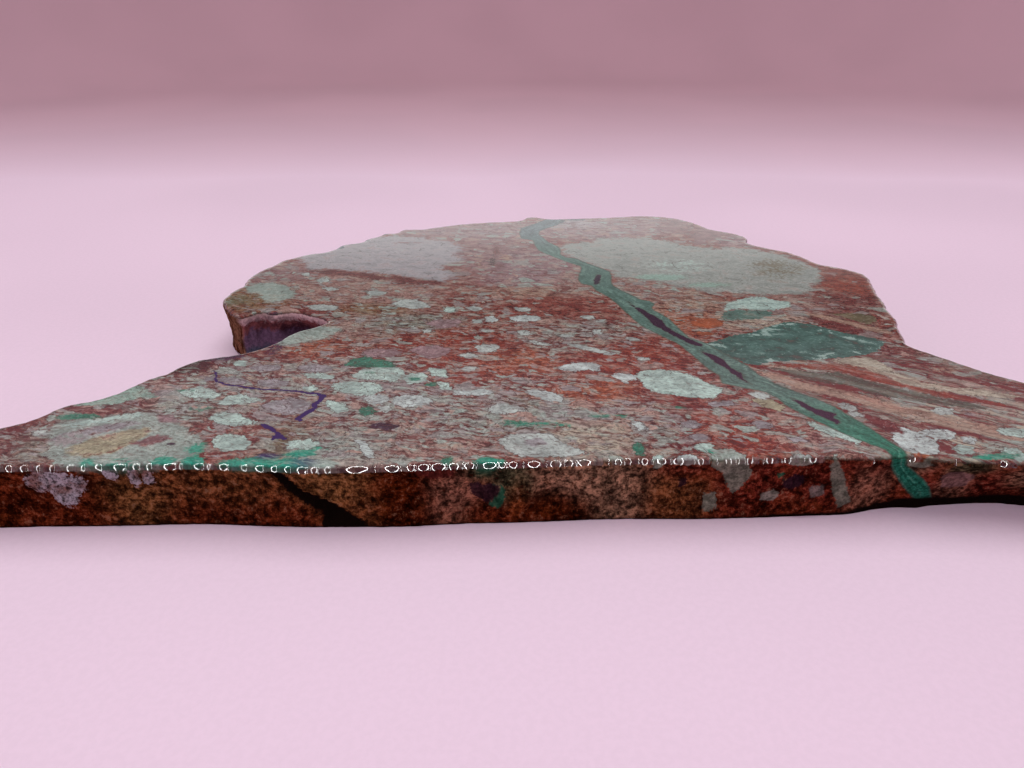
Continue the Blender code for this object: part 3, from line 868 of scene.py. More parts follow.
clasts = {
    "paleMint": [
        [(-45.8, -32.1), (-43.6, -30.9), (-41.6, -32), (-40.6, -33.2), (-40.5, -33.9), (-43, -33.9),
         (-44.9, -33.2)],
        [(-39.9, -35.4), (-39.4, -33.4), (-38, -32.9), (-36.6, -33.7), (-34.7, -34.7), (-36.9, -35.1),
         (-38.6, -35.7)],
        [(-39.9, -38.4), (-38.6, -37.3), (-36.6, -37.9), (-33.8, -40), (-36.6, -40.4), (-38.6, -39.8)],
        [(-37.7, -42.9), (-36.9, -42.2), (-34.7, -42.6), (-33.7, -44), (-33.6, -45.5), (-35.8, -45.7),
         (-37.2, -44.6)],
        [(-25.8, -27.9), (-24.4, -26.2), (-22.4, -25.5), (-19.9, -25.7), (-19.1, -27.1), (-19.7, -28.2),
         (-19.9, -29.6), (-22.4, -29), (-24.9, -28.7)],
        [(-27.7, -30.7), (-27.4, -30.1), (-25.2, -29.7), (-23, -29.8), (-21.6, -30.4), (-21.2, -31.8),
         (-22.4, -33.2), (-23.8, -33.3), (-26.3, -32.1)],
        [(-19.1, -28.4), (-18.3, -27.3), (-16.9, -27.1), (-16.1, -27.9), (-16.3, -29.6), (-18.3, -30.1)],
        [(-16.3, -25.7), (-14.1, -26.2), (-13.6, -28.4), (-15.5, -27.9)],
        [(-14.7, -29.8), (-13.4, -29.9), (-12.8, -31.8), (-14, -31.6)],
        [(-27.4, -34.6), (-25.5, -34.9), (-24.4, -36.9), (-25.5, -37.5), (-27, -36)],
        [(-29.7, -43.8), (-27.5, -43.3), (-26, -44.3), (-27, -45.4), (-29.2, -45.2)],
        [(10.2, -28), (11, -26.6), (12, -26.3), (13.7, -26.2), (15.7, -26.9), (16.9, -27.7), (18, -29.1),
         (18.9, -30.3), (19.9, -31.1), (19.9, -32.3), (19.1, -33.1), (18.3, -34), (15.4, -33.6),
         (13.4, -32.9), (12, -32.4), (10.9, -31.2)],
        [(41.1, -45.4), (42.3, -44.4), (43.3, -45), (42.9, -46.3), (41.4, -46.3)],
        [(46, -46), (46.9, -45.1), (48, -45.4), (48, -47.1), (46.7, -47.7), (46, -46.9)],
        [(48, -41), (51.5, -41.2), (53, -42.6), (50, -43), (48, -42.4)],
        [(13.7, -44.9), (14.9, -44.1), (15.9, -44.6), (15.7, -45.7), (14.7, -46)],
        [(-41.7, -23.6), (-40.4, -23.4), (-40, -25), (-41.2, -25.2)],
        [(-31.9, -27.3), (-29.5, -27.2), (-27.7, -28.2), (-28.5, -28.9), (-31, -28.4)],
        [(-31.3, -31.2), (-29.9, -30.4), (-29.1, -31.8), (-29.7, -32.3)],
        [(27.6, -39.4), (28.6, -39.9), (30.4, -41.8), (32.4, -43.6), (31.6, -44.3), (29.4, -42.6),
         (27.9, -40.8)],
        [(-15.8, -4.4), (-14.3, -4.2), (-14.2, -6.2), (-15.6, -6.6)],
        [(9.2, -47), (10, -46.6), (10.2, -48.2), (9.7, -49.1), (9.2, -48.6)],
    ],
    "white": [
        [(35.4, -44), (36.3, -42), (37.7, -40.9), (39.1, -42), (40, -43.7), (39.7, -44.9), (38.9, -46.3),
         (37.1, -46.3), (35.7, -45.4)],
        [(39.4, -41.7), (41.7, -41.1), (43.1, -42), (42.3, -43.1), (40.3, -43.4)],
        [(42.9, -43.1), (44.3, -42.9), (44.6, -43.7), (43.4, -44.3)],
        [(-23.3, -33.7), (-22.2, -33), (-20.8, -33.2), (-19.9, -34.3), (-20.5, -35.1), (-22.2, -35.3)],
        [(-19.7, -34), (-18.3, -33.2), (-16.6, -33.2), (-15.2, -34), (-14.8, -35.1), (-16.3, -35.7),
         (-17.7, -36.2), (-19.4, -35.4)],
        [(-22.4, -43.4), (-21.3, -44), (-19.9, -46.2), (-20.2, -47.3), (-21.3, -45.4)],
        [(0.3, -25.9), (1.4, -24.8), (3.1, -24.1), (4.8, -24.1), (5.8, -24.8), (5.6, -26.5), (3.9, -26.2),
         (2, -26.6)],
        [(6.9, -27.9), (7.8, -27.2), (9.2, -27.3), (10.2, -28.2), (9.8, -29.1), (8.9, -29.1),
         (8.7, -30.1), (8, -29.1)],
        [(-4, -32.1), (-3, -31.8), (-1.1, -32.1), (0.6, -33.7), (0.3, -34.8), (-1.3, -34.6), (-3, -33.2)],
        [(-5.7, -8.6), (-4.3, -7.7), (-2, -7.7), (-1.1, -8.9), (-2, -9.9), (-4.3, -10), (-5.7, -9.4)],
        [(-9.4, -8.3), (-8.3, -8), (-7.4, -9.4), (-8.3, -10.3), (-9.4, -9.7)],
        [(8, -39.7), (8.8, -39.5), (9.6, -41.2), (8.6, -41.6)],
        [(-12.4, -31.8), (-10.8, -32.1), (-8.8, -31.5), (-7.9, -32.1), (-8, -32.9), (-10.2, -33.2),
         (-12.4, -32.9)],
        [(11.7, -46.9), (13.3, -46.5), (13.7, -47.5), (12.8, -48.1), (11.9, -47.5)],
    ],
    "pale": [
        [(-10.5, -19), (-9.4, -18.3), (-7.4, -18.6), (-7.2, -19.3), (-8, -20.7), (-9.9, -20.7)],
        [(-12.7, -21.8), (-11.3, -21.1), (-10.2, -21.5), (-10.2, -22.3), (-11.6, -22.5)],
        [(-12, -25.9), (-11.3, -25.3), (-10.2, -25.4), (-10.2, -26.4), (-11.3, -26.6)],
        [(-21.1, -35.7), (-19.7, -35.9), (-19.7, -37.3), (-20.8, -37.1)],
        [(-8.3, -36.5), (-6.9, -35.1), (-4.9, -35.9), (-3.8, -37.1), (-5.8, -37.6), (-7.7, -37.6)],
        [(-7, -43.4), (-5.8, -42.6), (-4.4, -42.1), (-1.3, -42.2), (-0.2, -44), (1.4, -45.4),
         (2.6, -46.2), (-0.2, -46.8), (-4.4, -46.8), (-5.9, -45.7)],
        [(42.9, -36.9), (44, -36.3), (45.4, -36.6), (44.9, -37.7), (43.4, -38)],
        [(32.6, -35.4), (33.4, -35.1), (34.6, -36), (34.3, -36.9), (32.9, -36.6)],
        [(33.1, -37.5), (34.3, -37.3), (34.6, -38.2), (33.4, -38.4)],
        [(22.9, -32.6), (24.6, -32.3), (25.4, -33.4), (24.6, -34.3), (23.4, -33.7)],
        [(-37.1, -3.7), (-34.9, -3.1), (-32, -4), (-32.3, -5.4), (-34.3, -5.7), (-36.3, -4.9)],
        [(-24, -2.6), (-22.6, -0.9), (-20.6, -1.1), (-18.9, -2.6), (-18, -4.3), (-20.6, -4.9),
         (-23.1, -4)],
        [(-29.1, 2.6), (-27.4, 3.1), (-25.7, 2.3), (-26, 1.1), (-28, 0.9)],
        [(-36.6, 4.4), (-35, 4.7), (-33.6, 3.6), (-35, 2.9)],
        [(-38.4, 8.6), (-36.9, 9.1), (-35.9, 7.6), (-37.4, 6.9)],
        [(-41.5, 11.5), (-40.5, 11.9), (-39.9, 10.6), (-40.9, 10.2)],
        [(-12.7, -4.4), (-11, -3.9), (-9.7, -4.9), (-11.2, -5.8)],
        [(-11.4, -9.4), (-10.2, -9.2), (-9.8, -10.6), (-11, -10.8)],
        [(-5.1, -4.3), (-3.4, -4.6), (-2.6, -5.4), (-3.7, -6.3), (-4.9, -5.4)],
        [(4.4, -8), (6, -7.7), (6.9, -8.3), (6.3, -9.3), (4.9, -8.9)],
        [(6.9, -9.5), (8.1, -9.3), (8.1, -10.3), (7, -10.4)],
        [(6, -13.2), (7.1, -13), (7.2, -14.4), (6.2, -14.7)],
        [(-4.9, -13.6), (-3.4, -13.3), (-2.8, -14.7), (-4.2, -15.2)],
        [(0.8, -15.1), (2.2, -14.9), (3.2, -15.5), (1.8, -15.8)],
        [(-10.1, -13.3), (-9, -13), (-8.2, -13.7), (-9.2, -14.1)],
        [(-18.6, -13.2), (-17.4, -13), (-16.5, -13.8), (-17.8, -14.2)],
        [(-3.5, -16.8), (-2, -17.2), (-0.1, -18.4), (-0.6, -18.8), (-2.4, -18.1)],
        [(2.2, -17.9), (4.2, -18.6), (6.4, -20), (8.3, -21.3), (7.6, -21.8), (5.4, -20.6), (3.2, -19.2)],
        [(10.1, -15.7), (11.4, -15.9), (12.4, -17), (11, -17)],
        [(10.8, -22.3), (12.4, -22.6), (12.8, -23.4), (11.2, -23.3)],
        [(-58.2, -41.6), (-56.6, -41.4), (-56.2, -42.4), (-57.6, -42.6)],
        [(23.3, -47.2), (24.2, -46.5), (25.5, -46.8), (25.8, -47.8), (24.9, -48.4), (23.8, -48.2)],
        [(21.2, -52.8), (22.4, -52.2), (23.3, -53), (22.6, -53.9), (21.4, -53.7)],
    ],
    "greyMint": [
        [(15.2, -46.8), (15.9, -45.6), (17.6, -45.4), (18.7, -46.4), (19.1, -48.2), (19.9, -50),
         (19, -51.4), (18.3, -52.5), (17.8, -52.5), (17.1, -50.9), (16.2, -49.3), (15.3, -48.4)],
        [(-24.5, -27.2), (-21.5, -26.9), (-20.3, -27.3), (-21.8, -27.6)],
        [(28.2, -46.5), (28.8, -48.2), (29.4, -50.2), (30.3, -52.2), (31.2, -54.2), (29.8, -54.9),
         (28.7, -52.4), (28.1, -50), (27.7, -48)],
        [(14.9, -52.8), (16.3, -52.6), (16.5, -54.6), (15.1, -54.9)],
        [(35.5, -47), (37.6, -46.8), (38.3, -48.2), (37.2, -49.4), (36, -48.6)],
    ],
    "lilac": [
        [(-33.6, -34.6), (-31.1, -34), (-29.1, -35.1), (-29.1, -37.6), (-31.3, -37.9), (-33.6, -36.8),
         (-34.7, -35.7)],
        [(-42.2, -28.7), (-40.5, -28.3), (-38.6, -29.1), (-38.1, -30), (-39.9, -30.4), (-41.6, -29.6)],
        [(-36.9, -29.4), (-35.2, -28.9), (-33.3, -29.6), (-33, -30.4), (-34.9, -31.2), (-36.9, -30.4)],
        [(-39.1, -25.4), (-37.4, -24.8), (-35.5, -25.1), (-35.1, -26.2), (-36.9, -26.6), (-38.6, -26.2)],
        [(-33, -25.1), (-31.1, -24.6), (-29.1, -25.1), (-28.3, -26.5), (-30.2, -26.8), (-32.4, -26.2)],
        [(-43.8, -28.4), (-42.7, -28), (-42.4, -29), (-43.6, -29.6)],
        [(17.6, -34.9), (20.3, -34.7), (20.6, -35.7), (18.9, -35.7), (17.7, -36.3)],
        [(24.3, -43), (25.8, -42.9), (26.3, -43.8), (24.9, -43.9)],
        [(14, -42.6), (15.1, -42.1), (15.7, -42.9), (15.1, -43.6), (14.1, -43.4)],
        [(26.2, -52), (27.6, -51.7), (28, -53), (26.6, -53.3)],
        [(-3.9, -43.3), (-2.2, -43), (-1.6, -44.3), (-3.2, -44.9), (-4.3, -44.3)],
        [(21.4, -39.7), (22.6, -39.4), (23.7, -40.1), (23.4, -40.9), (21.7, -41)],
        [(13.7, -39.7), (14.9, -39.3), (15.7, -40.3), (14.6, -41), (13.4, -40.6)],
    ],
    "mauve": [
        [(-25.5, -20.4), (-23.8, -19.7), (-21.6, -20), (-20.2, -20.9), (-21.3, -22.2), (-23.8, -22.3),
         (-25.2, -21.5)],
        [(-19.4, -19.8), (-18.3, -19), (-16.1, -18.7), (-14.1, -19.6), (-13.8, -20.7), (-14.9, -22.1),
         (-16.3, -22.9), (-18, -21.5)],
        [(-18, -10.9), (-16.9, -9.4), (-13.4, -9.1), (-12.9, -10), (-13.7, -12), (-15.7, -12.6),
         (-17.1, -11.7)],
        [(39.8, -50.4), (41.8, -49.9), (43.9, -51), (43.2, -52.7), (40.6, -52.6)],
    ],
    "tan": [
        [(23, -34.2), (25, -34.2), (26.3, -36), (25.4, -37), (23.6, -35.8)],
    ],
    "malachite": [
        [(-27.4, -24.8), (-26.3, -22.9), (-24.7, -22.3), (-22.7, -23.4), (-21.3, -23.7), (-20.5, -25.4),
         (-22.4, -25.7), (-24.4, -25.4), (-26.3, -25.1)],
        [(-23, -36.2), (-21.6, -36.2), (-21.2, -37.6), (-22.2, -38.2), (-23, -37.3)],
        [(-7.3, -50.9), (-6.3, -51.2), (-6.2, -52.6), (-6.9, -53.8), (-8.2, -53.3), (-7.3, -52.2)],
        [(22.5, -49.9), (23.1, -49.8), (23.3, -50.6), (22.6, -50.7)],
        [(7.5, -44.3), (8.2, -44), (8.5, -45.1), (8.2, -46.5), (7.5, -46.6)],
    ],
    "core": [
        [(-9.9, -50.6), (-9, -50.5), (-8.6, -51), (-7.7, -50.8), (-6.8, -51.2), (-6.7, -52),
         (-7.5, -52.7), (-8.1, -53.3), (-8.9, -52.7), (-9.9, -52)],
        [(23.3, -51.2), (24.6, -50.4), (25.8, -50.9), (25.6, -51.7), (24.4, -52.4), (23.4, -52)],
        [(12, -50.9), (12.9, -50.6), (13.1, -51.5), (12.3, -51.8)],
        [(-21.3, -40), (-19.6, -39.9), (-18.1, -40.6), (-19, -41.3), (-20.9, -41)],
    ],
    "orange": [
        [(20.3, -10.6), (21.8, -9), (24.2, -8.8), (25.5, -9.8), (24.8, -11.8), (22.6, -12.5), (21, -12)],
        [(36.3, -46.4), (37.2, -46), (37.8, -46.8), (37, -47.6), (36.4, -47.2)],
        [(20.3, -14), (22.4, -13.9), (23.2, -14.7), (21.2, -14.9)],
    ],
    "deepRed": [
        [(34.4, -37.6), (35.8, -38.6), (37.3, -40.6), (37.6, -42.4), (36.2, -41.6), (35, -40)],
        [(-15.6, -48.4), (-13.5, -48.1), (-11.4, -48.5), (-11.5, -49.6), (-13.5, -49.9), (-15.4, -49.5)],
    ],
}

# Soft stains and a little painted shade, painted over everything: x, y, half width, half height, colour,
# strength.

stains = [
    (-54.9, -38.4, 2.6, 0.8, "malachite", 0.8), (-45, -31.9, 1.5, 0.5, "malachite", 0.5),
    (-41.5, -36.5, 2.0, 0.9, "malachite", 0.45), (-39, -45.5, 1.4, 1.6, "brightMalachite", 0.6),
    (-38.3, -47.9, 1.2, 1.1, "brightMalachite", 1.0), (-41.5, -47.6, 1.3, 0.9, "brightMalachite", 0.85),
    (-49.2, -47.9, 1.0, 1.0, "brightMalachite", 0.55), (-45.5, -47.4, 2.2, 0.6, "brightMalachite", 0.35),
    (-32.6, -48.2, 3.0, 1.2, "brightMalachite", 0.85), (-28.6, -48.4, 2.4, 1.2, "brightMalachite", 0.85),
    (-24.8, -48.2, 1.6, 0.9, "greyMint", 0.7), (-27.5, -46.2, 1.6, 0.7, "brightMalachite", 0.9),
    (-25.8, -45.2, 1.0, 0.5, "brightMalachite", 0.6), (-30.5, -44.0, 1.2, 3.0, "olive", 0.45),
    (-17.7, -28.8, 0.9, 0.7, "malachite", 0.75), (-15.5, -30.3, 1.0, 0.8, "malachite", 0.6),
    (-23.5, -27.0, 1.5, 0.5, "malachite", 0.35), (-1.5, -40.3, 3.2, 0.8, "brightMalachite", 0.45),
    (-5.5, -39.8, 1.6, 0.9, "malachite", 0.55), (-12.2, -47.6, 0.8, 1.2, "malachite", 0.6),
    (-7.8, -48.0, 1.6, 1.0, "brightMalachite", 0.8), (-45.6, -48.8, 3.4, 0.9, "brightMalachite", 0.5),
    (-8.5, -48.8, 1.4, 1.4, "malachite", 0.5), (4.3, -38.2, 2.0, 0.6, "malachite", 0.45),
    (7.4, -38.3, 1.0, 0.5, "malachite", 0.6), (13.6, -32.6, 2.2, 0.5, "malachite", 0.35),
    (44.0, -46.9, 2.2, 0.7, "brightMalachite", 0.55), (47.0, -46.6, 1.6, 1.0, "malachite", 0.45),
    (14.2, -36.2, 1.0, 0.5, "malachite", 0.6), (15.4, -45.8, 1.0, 0.5, "brightMalachite", 0.5),
    # The first two patches on the next line are painted shade along the wing's rounded edge beside the
    # notch, not stains.
    (-47.5, -25.5, 3.0, 2.2, "purpleBrown", 0.6), (-44.0, -21.8, 3.0, 2.0, "purple", 0.75),
    (-43.8, -20.3, 1.6, 0.8, "azurite", 0.7), (-41.0, -8.0, 4.5, 1.8, "purple", 0.6),
    (-38.0, -9.5, 4.0, 1.4, "purple", 0.55), (-37.6, -19.5, 1.2, 3.0, "purple", 0.5),
    (-48.5, -1.5, 2.6, 3.0, "olive", 0.5), (20.0, 9.6, 5.0, 1.6, "mint", 0.7),
    (27.0, 5.8, 4.0, 1.4, "mint", 0.6), (24.0, 16.0, 8.0, 5.0, "paleMint", 0.35),
    (41.0, 15.0, 6.0, 6.0, "olive", 0.45), (36.0, 8.0, 8.0, 4.0, "olive", 0.18),
    (-27.0, -48.0, 1.4, 1.0, "azurite", 0.5), (-30.9, -46.7, 1.2, 0.5, "azurite", 0.75),
    (3.9, 45.3, 1.6, 2.0, "slate", 0.9), (8.0, 46.6, 2.6, 0.7, "slate", 0.7),
    (-17.7, 38.6, 1.7, 2.0, "redMauve", 0.6), (-10.8, 30.0, 1.2, 2.2, "redMauve", 0.7),
    (-8.4, 24.5, 0.9, 3.6, "deepRed", 0.55), (-15.0, 23.3, 0.8, 1.2, "deepRed", 0.5),
    (-25.3, 29.7, 3.6, 1.0, "redMauve", 0.5), (-9.1, 18.0, 0.9, 2.7, "purpleBrown", 0.55),
    (-9.2, 34.4, 1.6, 1.4, "greyMint", 0.5), (0.2, 16.5, 1.8, 2.4, "redMauve", 0.5),
    (-6.4, 20.5, 1.5, 2.4, "orangeCream", 0.5), (-11.3, 19.0, 1.0, 4.0, "beige", 0.4),
    (50.0, -26.0, 2.2, 2.0, "beige", 0.4), (-38.2, 27.0, 0.9, 1.6, "slate", 0.8),
    (-34.0, 32.0, 0.8, 1.4, "slate", 0.7), (-31.0, 36.0, 0.9, 0.8, "slate", 0.7),
    (-53.4, -43.4, 2.0, 1.4, "lilacGrey", 0.8), (-41.9, -44.3, 0.5, 0.3, "core", 0.9),
    (7.6, -45.2, 0.5, 1.0, "malachite", 0.5),
]

# Malachite vein: its left and right edges from the back to the front edge, and then down the front side.

vein = {
    "left": [(3.2, 48.8), (-1, 43), (-3.6, 40), (-4, 36), (-3.7, 32.6), (-1.4, 31.4), (-1.1, 28),
             (-0.6, 25.1), (0.3, 23.4), (2.3, 20.6), (4.3, 18), (6.6, 15.4), (6.6, 13.7), (6, 11.1),
             (5.6, 8.3), (6, 6.3), (7.7, 5.4), (8.1, 3.1), (9.1, 1.4), (10, -0.3), (10.7, -2.6),
             (11.4, -5.4), (12, -7.4), (12.6, -9.7), (13.4, -12), (15, -14.6), (17.3, -18), (18.6, -22),
             (19.6, -26), (20.6, -27.7), (20.4, -30), (22.6, -31.1), (25.1, -32.3), (26.1, -34),
             (26.6, -36), (28.6, -39.1), (30.6, -42), (32.3, -44), (33.9, -45.4), (34.1, -47.2),
             (34.3, -48.6), (34.9, -50.2), (35.8, -51.4), (36.7, -52.7), (37.4, -53.6), (39, -56.2)],
    "right": [(5.6, 48.2), (4.5, 44.5), (3.9, 42.3), (1.8, 40.2), (0.1, 37.9), (-0.2, 35.5), (0.6, 33.2),
              (1.5, 30.2), (3.3, 27), (3.6, 24.6), (3.4, 22.3), (4.3, 20.6), (6, 20), (7.7, 17.4),
              (9.7, 14.9), (11.4, 12.6), (11.4, 10), (11, 7.7), (11.1, 5.4), (12.3, 2.9), (13.7, 0.9),
              (14.6, -0.9), (16, -1.7), (16.6, -2.9), (15.7, -4.9), (16.9, -7.1), (17.7, -9.1),
              (18.1, -10.9), (18.6, -13.4), (19.3, -16), (21.1, -17.7), (23.0, -21.5), (24.9, -24.9),
              (25.7, -27.7), (26.9, -30), (28.6, -32), (30.6, -34), (32, -36), (33.7, -39.7),
              (34.4, -41.7), (35.1, -43.7), (35.8, -45.4), (35.7, -47.4), (36.0, -48.9), (37.0, -50.2),
              (38.3, -51.4), (39.3, -52.7), (39.9, -53.6), (41.5, -56.2)],
    "shiftBelow": 4.0,                              # the vein slants, so underneath it lies further right
}
cores = [
    [(9.1, 11.4), (9.7, 10.6), (9.4, 8.9), (8.9, 6.3), (8.1, 6), (8.3, 8.6), (8.7, 10)],
    [(12.2, -1.4), (12.9, -2.4), (13.4, -4), (14.6, -5.4), (15.1, -6.9), (16, -8.3), (16.6, -9.7),
     (16.7, -11.4), (17.7, -14), (18.9, -16), (20.6, -18.3), (20.3, -19.1), (19.1, -18.3), (17.1, -15.1),
     (16, -13.1), (14.9, -11.1), (14.6, -9.1), (14, -6.9), (13.4, -5.1)],
    [(19.5, -20.2), (20.3, -20.9), (21.4, -21.7), (22.3, -22.9), (22.4, -24.3), (22.7, -25.7),
     (23.6, -27.4), (23.4, -28.9), (24, -30.4), (23.1, -29.1), (22.4, -27.4), (21.9, -25.4),
     (21.1, -24.3), (20.6, -22.6), (20, -21.1)],
    [(27.7, -33.8), (28.9, -35.1), (29.4, -36.3), (30.6, -37.1), (31.6, -37.6), (31, -38.6),
     (31.4, -39.4), (30.9, -40.2), (30.3, -39.1), (29.4, -38), (28.6, -36.6), (28, -35.1)],
]
lens = [(20.6, -18.2), (22.6, -17.2), (24.1, -16.2), (25.9, -15), (28.4, -14.3), (30.2, -12.8),
        (32.6, -11.3), (34.4, -10.2), (35.9, -10.4), (37.8, -11), (39.3, -12.2), (40.5, -13.4),
        (42.3, -14.6), (44.9, -16), (46, -17.5), (44.9, -19.1), (43.4, -20.6), (41.4, -21.7),
        (38.9, -22.4), (36.6, -22.8), (34, -23.3), (32, -23.3), (29.7, -23.7), (28, -23.9), (26.6, -24.8),
        (25.2, -24.6), (23.4, -22.8), (22.0, -20.6)]

# Thin bands cover the right wing, right of a slanting line and towards the front.

wing = {"slant": 0.62, "starts": (2, 7), "towardsFront": (-19, -25)}

# The notch's wall has colours of its own, with painted light and shade, around the notch's middle.

notch = {"middle": (-39, -13.5), "reach": 9.5, "fades": (1.05, 0.75)}

# Azurite veinlets: lines with a half width at each point.

veinlets = [
    [(-43.6, -26.2, 0.12), (-42.6, -28, 0.14), (-42.6, -28.9, 0.14), (-41.9, -29.6, 0.15),
     (-40.4, -30.5, 0.16), (-39, -30.8, 0.17), (-37.3, -31.3, 0.17), (-35.5, -31.7, 0.17),
     (-33.6, -31.8, 0.16), (-31.7, -32.1, 0.17), (-30, -32.6, 0.18), (-28.9, -32.8, 0.22),
     (-28.1, -33.4, 0.42), (-28.2, -34.5, 0.26), (-28.6, -35.3, 0.40), (-28.4, -36.3, 0.22),
     (-28.8, -37.2, 0.42), (-29.4, -38, 0.26), (-29.7, -38.8, 0.36), (-29.1, -39.5, 0.12)],
    [(-33.6, -40.1, 0.12), (-32.6, -40.7, 0.34), (-31.9, -41.3, 0.20), (-31.2, -42.1, 0.22),
     (-30.8, -42.8, 0.48), (-30.1, -43.2, 0.18), (-29.6, -43.4, 0.08)],
    [(-31.6, -43.5, 0.08), (-31.1, -42.9, 0.25), (-30.8, -42.4, 0.1)],
]


def polygonGap(where, outline):
    # distance to an outline, negative inside it
    ring = np.array(outline, float)
    best = np.full(len(where), 1e9)
    inside = np.zeros(len(where), bool)
    for (x0, y0), (x1, y1) in zip(ring, np.roll(ring, -1, axis=0)):
        side = np.array([x1 - x0, y1 - y0])
        off = where - (x0, y0)
        t = np.clip((off @ side) / max(side @ side, 1e-9), 0, 1)
        best = np.minimum(best, np.hypot(*(off - t[:, None] * side).T))
        spans = (y0 > where[:, 1]) != (y1 > where[:, 1])
        if y1 != y0:
            inside ^= spans & (where[:, 0] < x0 + (where[:, 1] - y0) * (x1 - x0) / (y1 - y0))
    return np.where(inside, -best, best)


# How soft the edges of the large bodies are, by colour, in millimetres.

softBodies = {"grey": 1.0, "clayGrey": 0.8, "greyMint": 0.4, "redMauve": 0.9, "deepRed": 0.4, "tan": 0.7,
              "lilac": 0.6, "mauve": 0.5}
sharpest = 0.16
farAway = 9.0                       # the gap kept where a shape is further off than anything shows


def drawn(where, shapes, reach=2.4):
    # the shape that each point lies in, or is nearest to: its gap, its colour, and how soft its edge is
    gap = np.full(len(where), farAway)
    colour = np.zeros((len(where), 3))
    soft = np.full(len(where), sharpest)
    for name, outline in shapes:
        ring = np.array(outline, float)
        near = ((where > ring.min(0) - reach) & (where < ring.max(0) + reach)).all(1)
        rows = np.flatnonzero(near)
        if not len(rows):
            continue
        found = polygonGap(where[rows], outline)
        wins = (found < 0) | (found < gap[rows])
        gap[rows[wins]] = found[wins]
        colour[rows[wins]] = linear(name)
        soft[rows[wins]] = softBodies.get(name, sharpest)
    return gap, colour, soft


def blended(where, blobs, default, defaultShare, weak=0.10):
    # the soft patches' colours and shares, and the default's between them, which counts weakly
    total = np.full(len(where), weak)
    colour = np.tile(np.array(linear(default)) * weak, (len(where), 1))
    share = np.full(len(where), weak * defaultShare)
    for x, y, rx, ry, name, amount in blobs:
        d2 = ((where[:, 0] - x) / rx) ** 2 + ((where[:, 1] - y) / ry) ** 2
        weight = np.exp(-1.2 * d2)
        total += weight
        colour += weight[:, None] * np.array(linear(name))
        share += weight * amount
    return colour / total[:, None], share / total


def stained(where):
    amount = np.zeros(len(where))
    colour = np.zeros((len(where), 3))
    for x, y, rx, ry, name, strength in stains:
        d2 = ((where[:, 0] - x) / rx) ** 2 + ((where[:, 1] - y) / ry) ** 2
        weight = strength * np.exp(-0.9 * d2 ** 1.5)
        colour = colour * (1 - weight[:, None]) + weight[:, None] * np.array(linear(name))
        amount = 1 - (1 - amount) * (1 - weight)
    return amount, colour / np.maximum(amount, 1e-4)[:, None]


def lineGap(where, line):
    # how far left (+) or right (-) of the line each point is, the line's half width there, the distance
    line = np.array(line, float)
    best = np.full(len(where), 1e9)
    side = np.zeros(len(where))
    half = np.zeros(len(where))
    for a, b in zip(line, line[1:]):
        step = b[:2] - a[:2]
        off = where - a[:2]
        t = np.clip((off @ step) / (step @ step), 0, 1)
        gap = off - t[:, None] * step
        distance = np.hypot(*gap.T)
        wins = distance < best
        best[wins] = distance[wins]
        side[wins] = np.sign(step[0] * off[wins, 1] - step[1] * off[wins, 0]) * distance[wins]
        half[wins] = a[2] + (b[2] - a[2]) * t[wins]
    first = np.hypot(*(where - line[0, :2]).T) <= best + 1e-6
    last = np.hypot(*(where - line[-1, :2]).T) <= best + 1e-6
    half[first | last] = -0.35
    return side, half, best


def veinGap(where):
    # gap to the vein, negative inside, and the place across it from 0 to 1
    left, right = (np.array(vein[k], float) for k in ("left", "right"))
    outline = np.vstack([left, right[::-1]])
    gap = polygonGap(where, outline)
    toLeft = polygonGap(where, np.vstack([left, [(200, -60), (200, 60)]]))
    toRight = polygonGap(where, np.vstack([right, [(-200, -60), (-200, 60)]]))
    a, b = np.maximum(-toLeft, 0), np.maximum(-toRight, 0)
    return gap, a / np.maximum(a + b, 1e-3)


def store(mesh, name, values):
    values = np.asarray(values, np.float32)
    if values.ndim == 1:
        mesh.attributes.new(name, "FLOAT", "POINT").data.foreach_set("value", values)
    else:
        filled = np.ones((len(values), 4), np.float32)
        filled[:, :3] = values
        mesh.attributes.new(name, "FLOAT_COLOR", "POINT").data.foreach_set("color", filled.ravel())


def layVein(mesh, where):
    gap, across = veinGap(where)
    store(mesh, "veinGap", gap)
    store(mesh, "veinAcross", across)
    store(mesh, "coreGap", drawn(where, [("core", outline) for outline in cores])[0])
    store(mesh, "lensGap", drawn(where, [("lensTeal", lens)])[0])


def layVeinlets(mesh, where, under):
    best = np.full(len(where), farAway)
    side = np.full(len(where), farAway)
    half = np.zeros(len(where))
    for line in veinlets:
        s, h, d = lineGap(where, line)
        wins = (d - h < best) & ~under
        best[wins] = (d - h)[wins]
        side[wins] = s[wins]
        half[wins] = h[wins]
    half = np.where(best > 0.45, -0.5, half)        # so nothing shows where the line runs out
    store(mesh, "veinletSide", side)
    store(mesh, "veinletHalf", half)


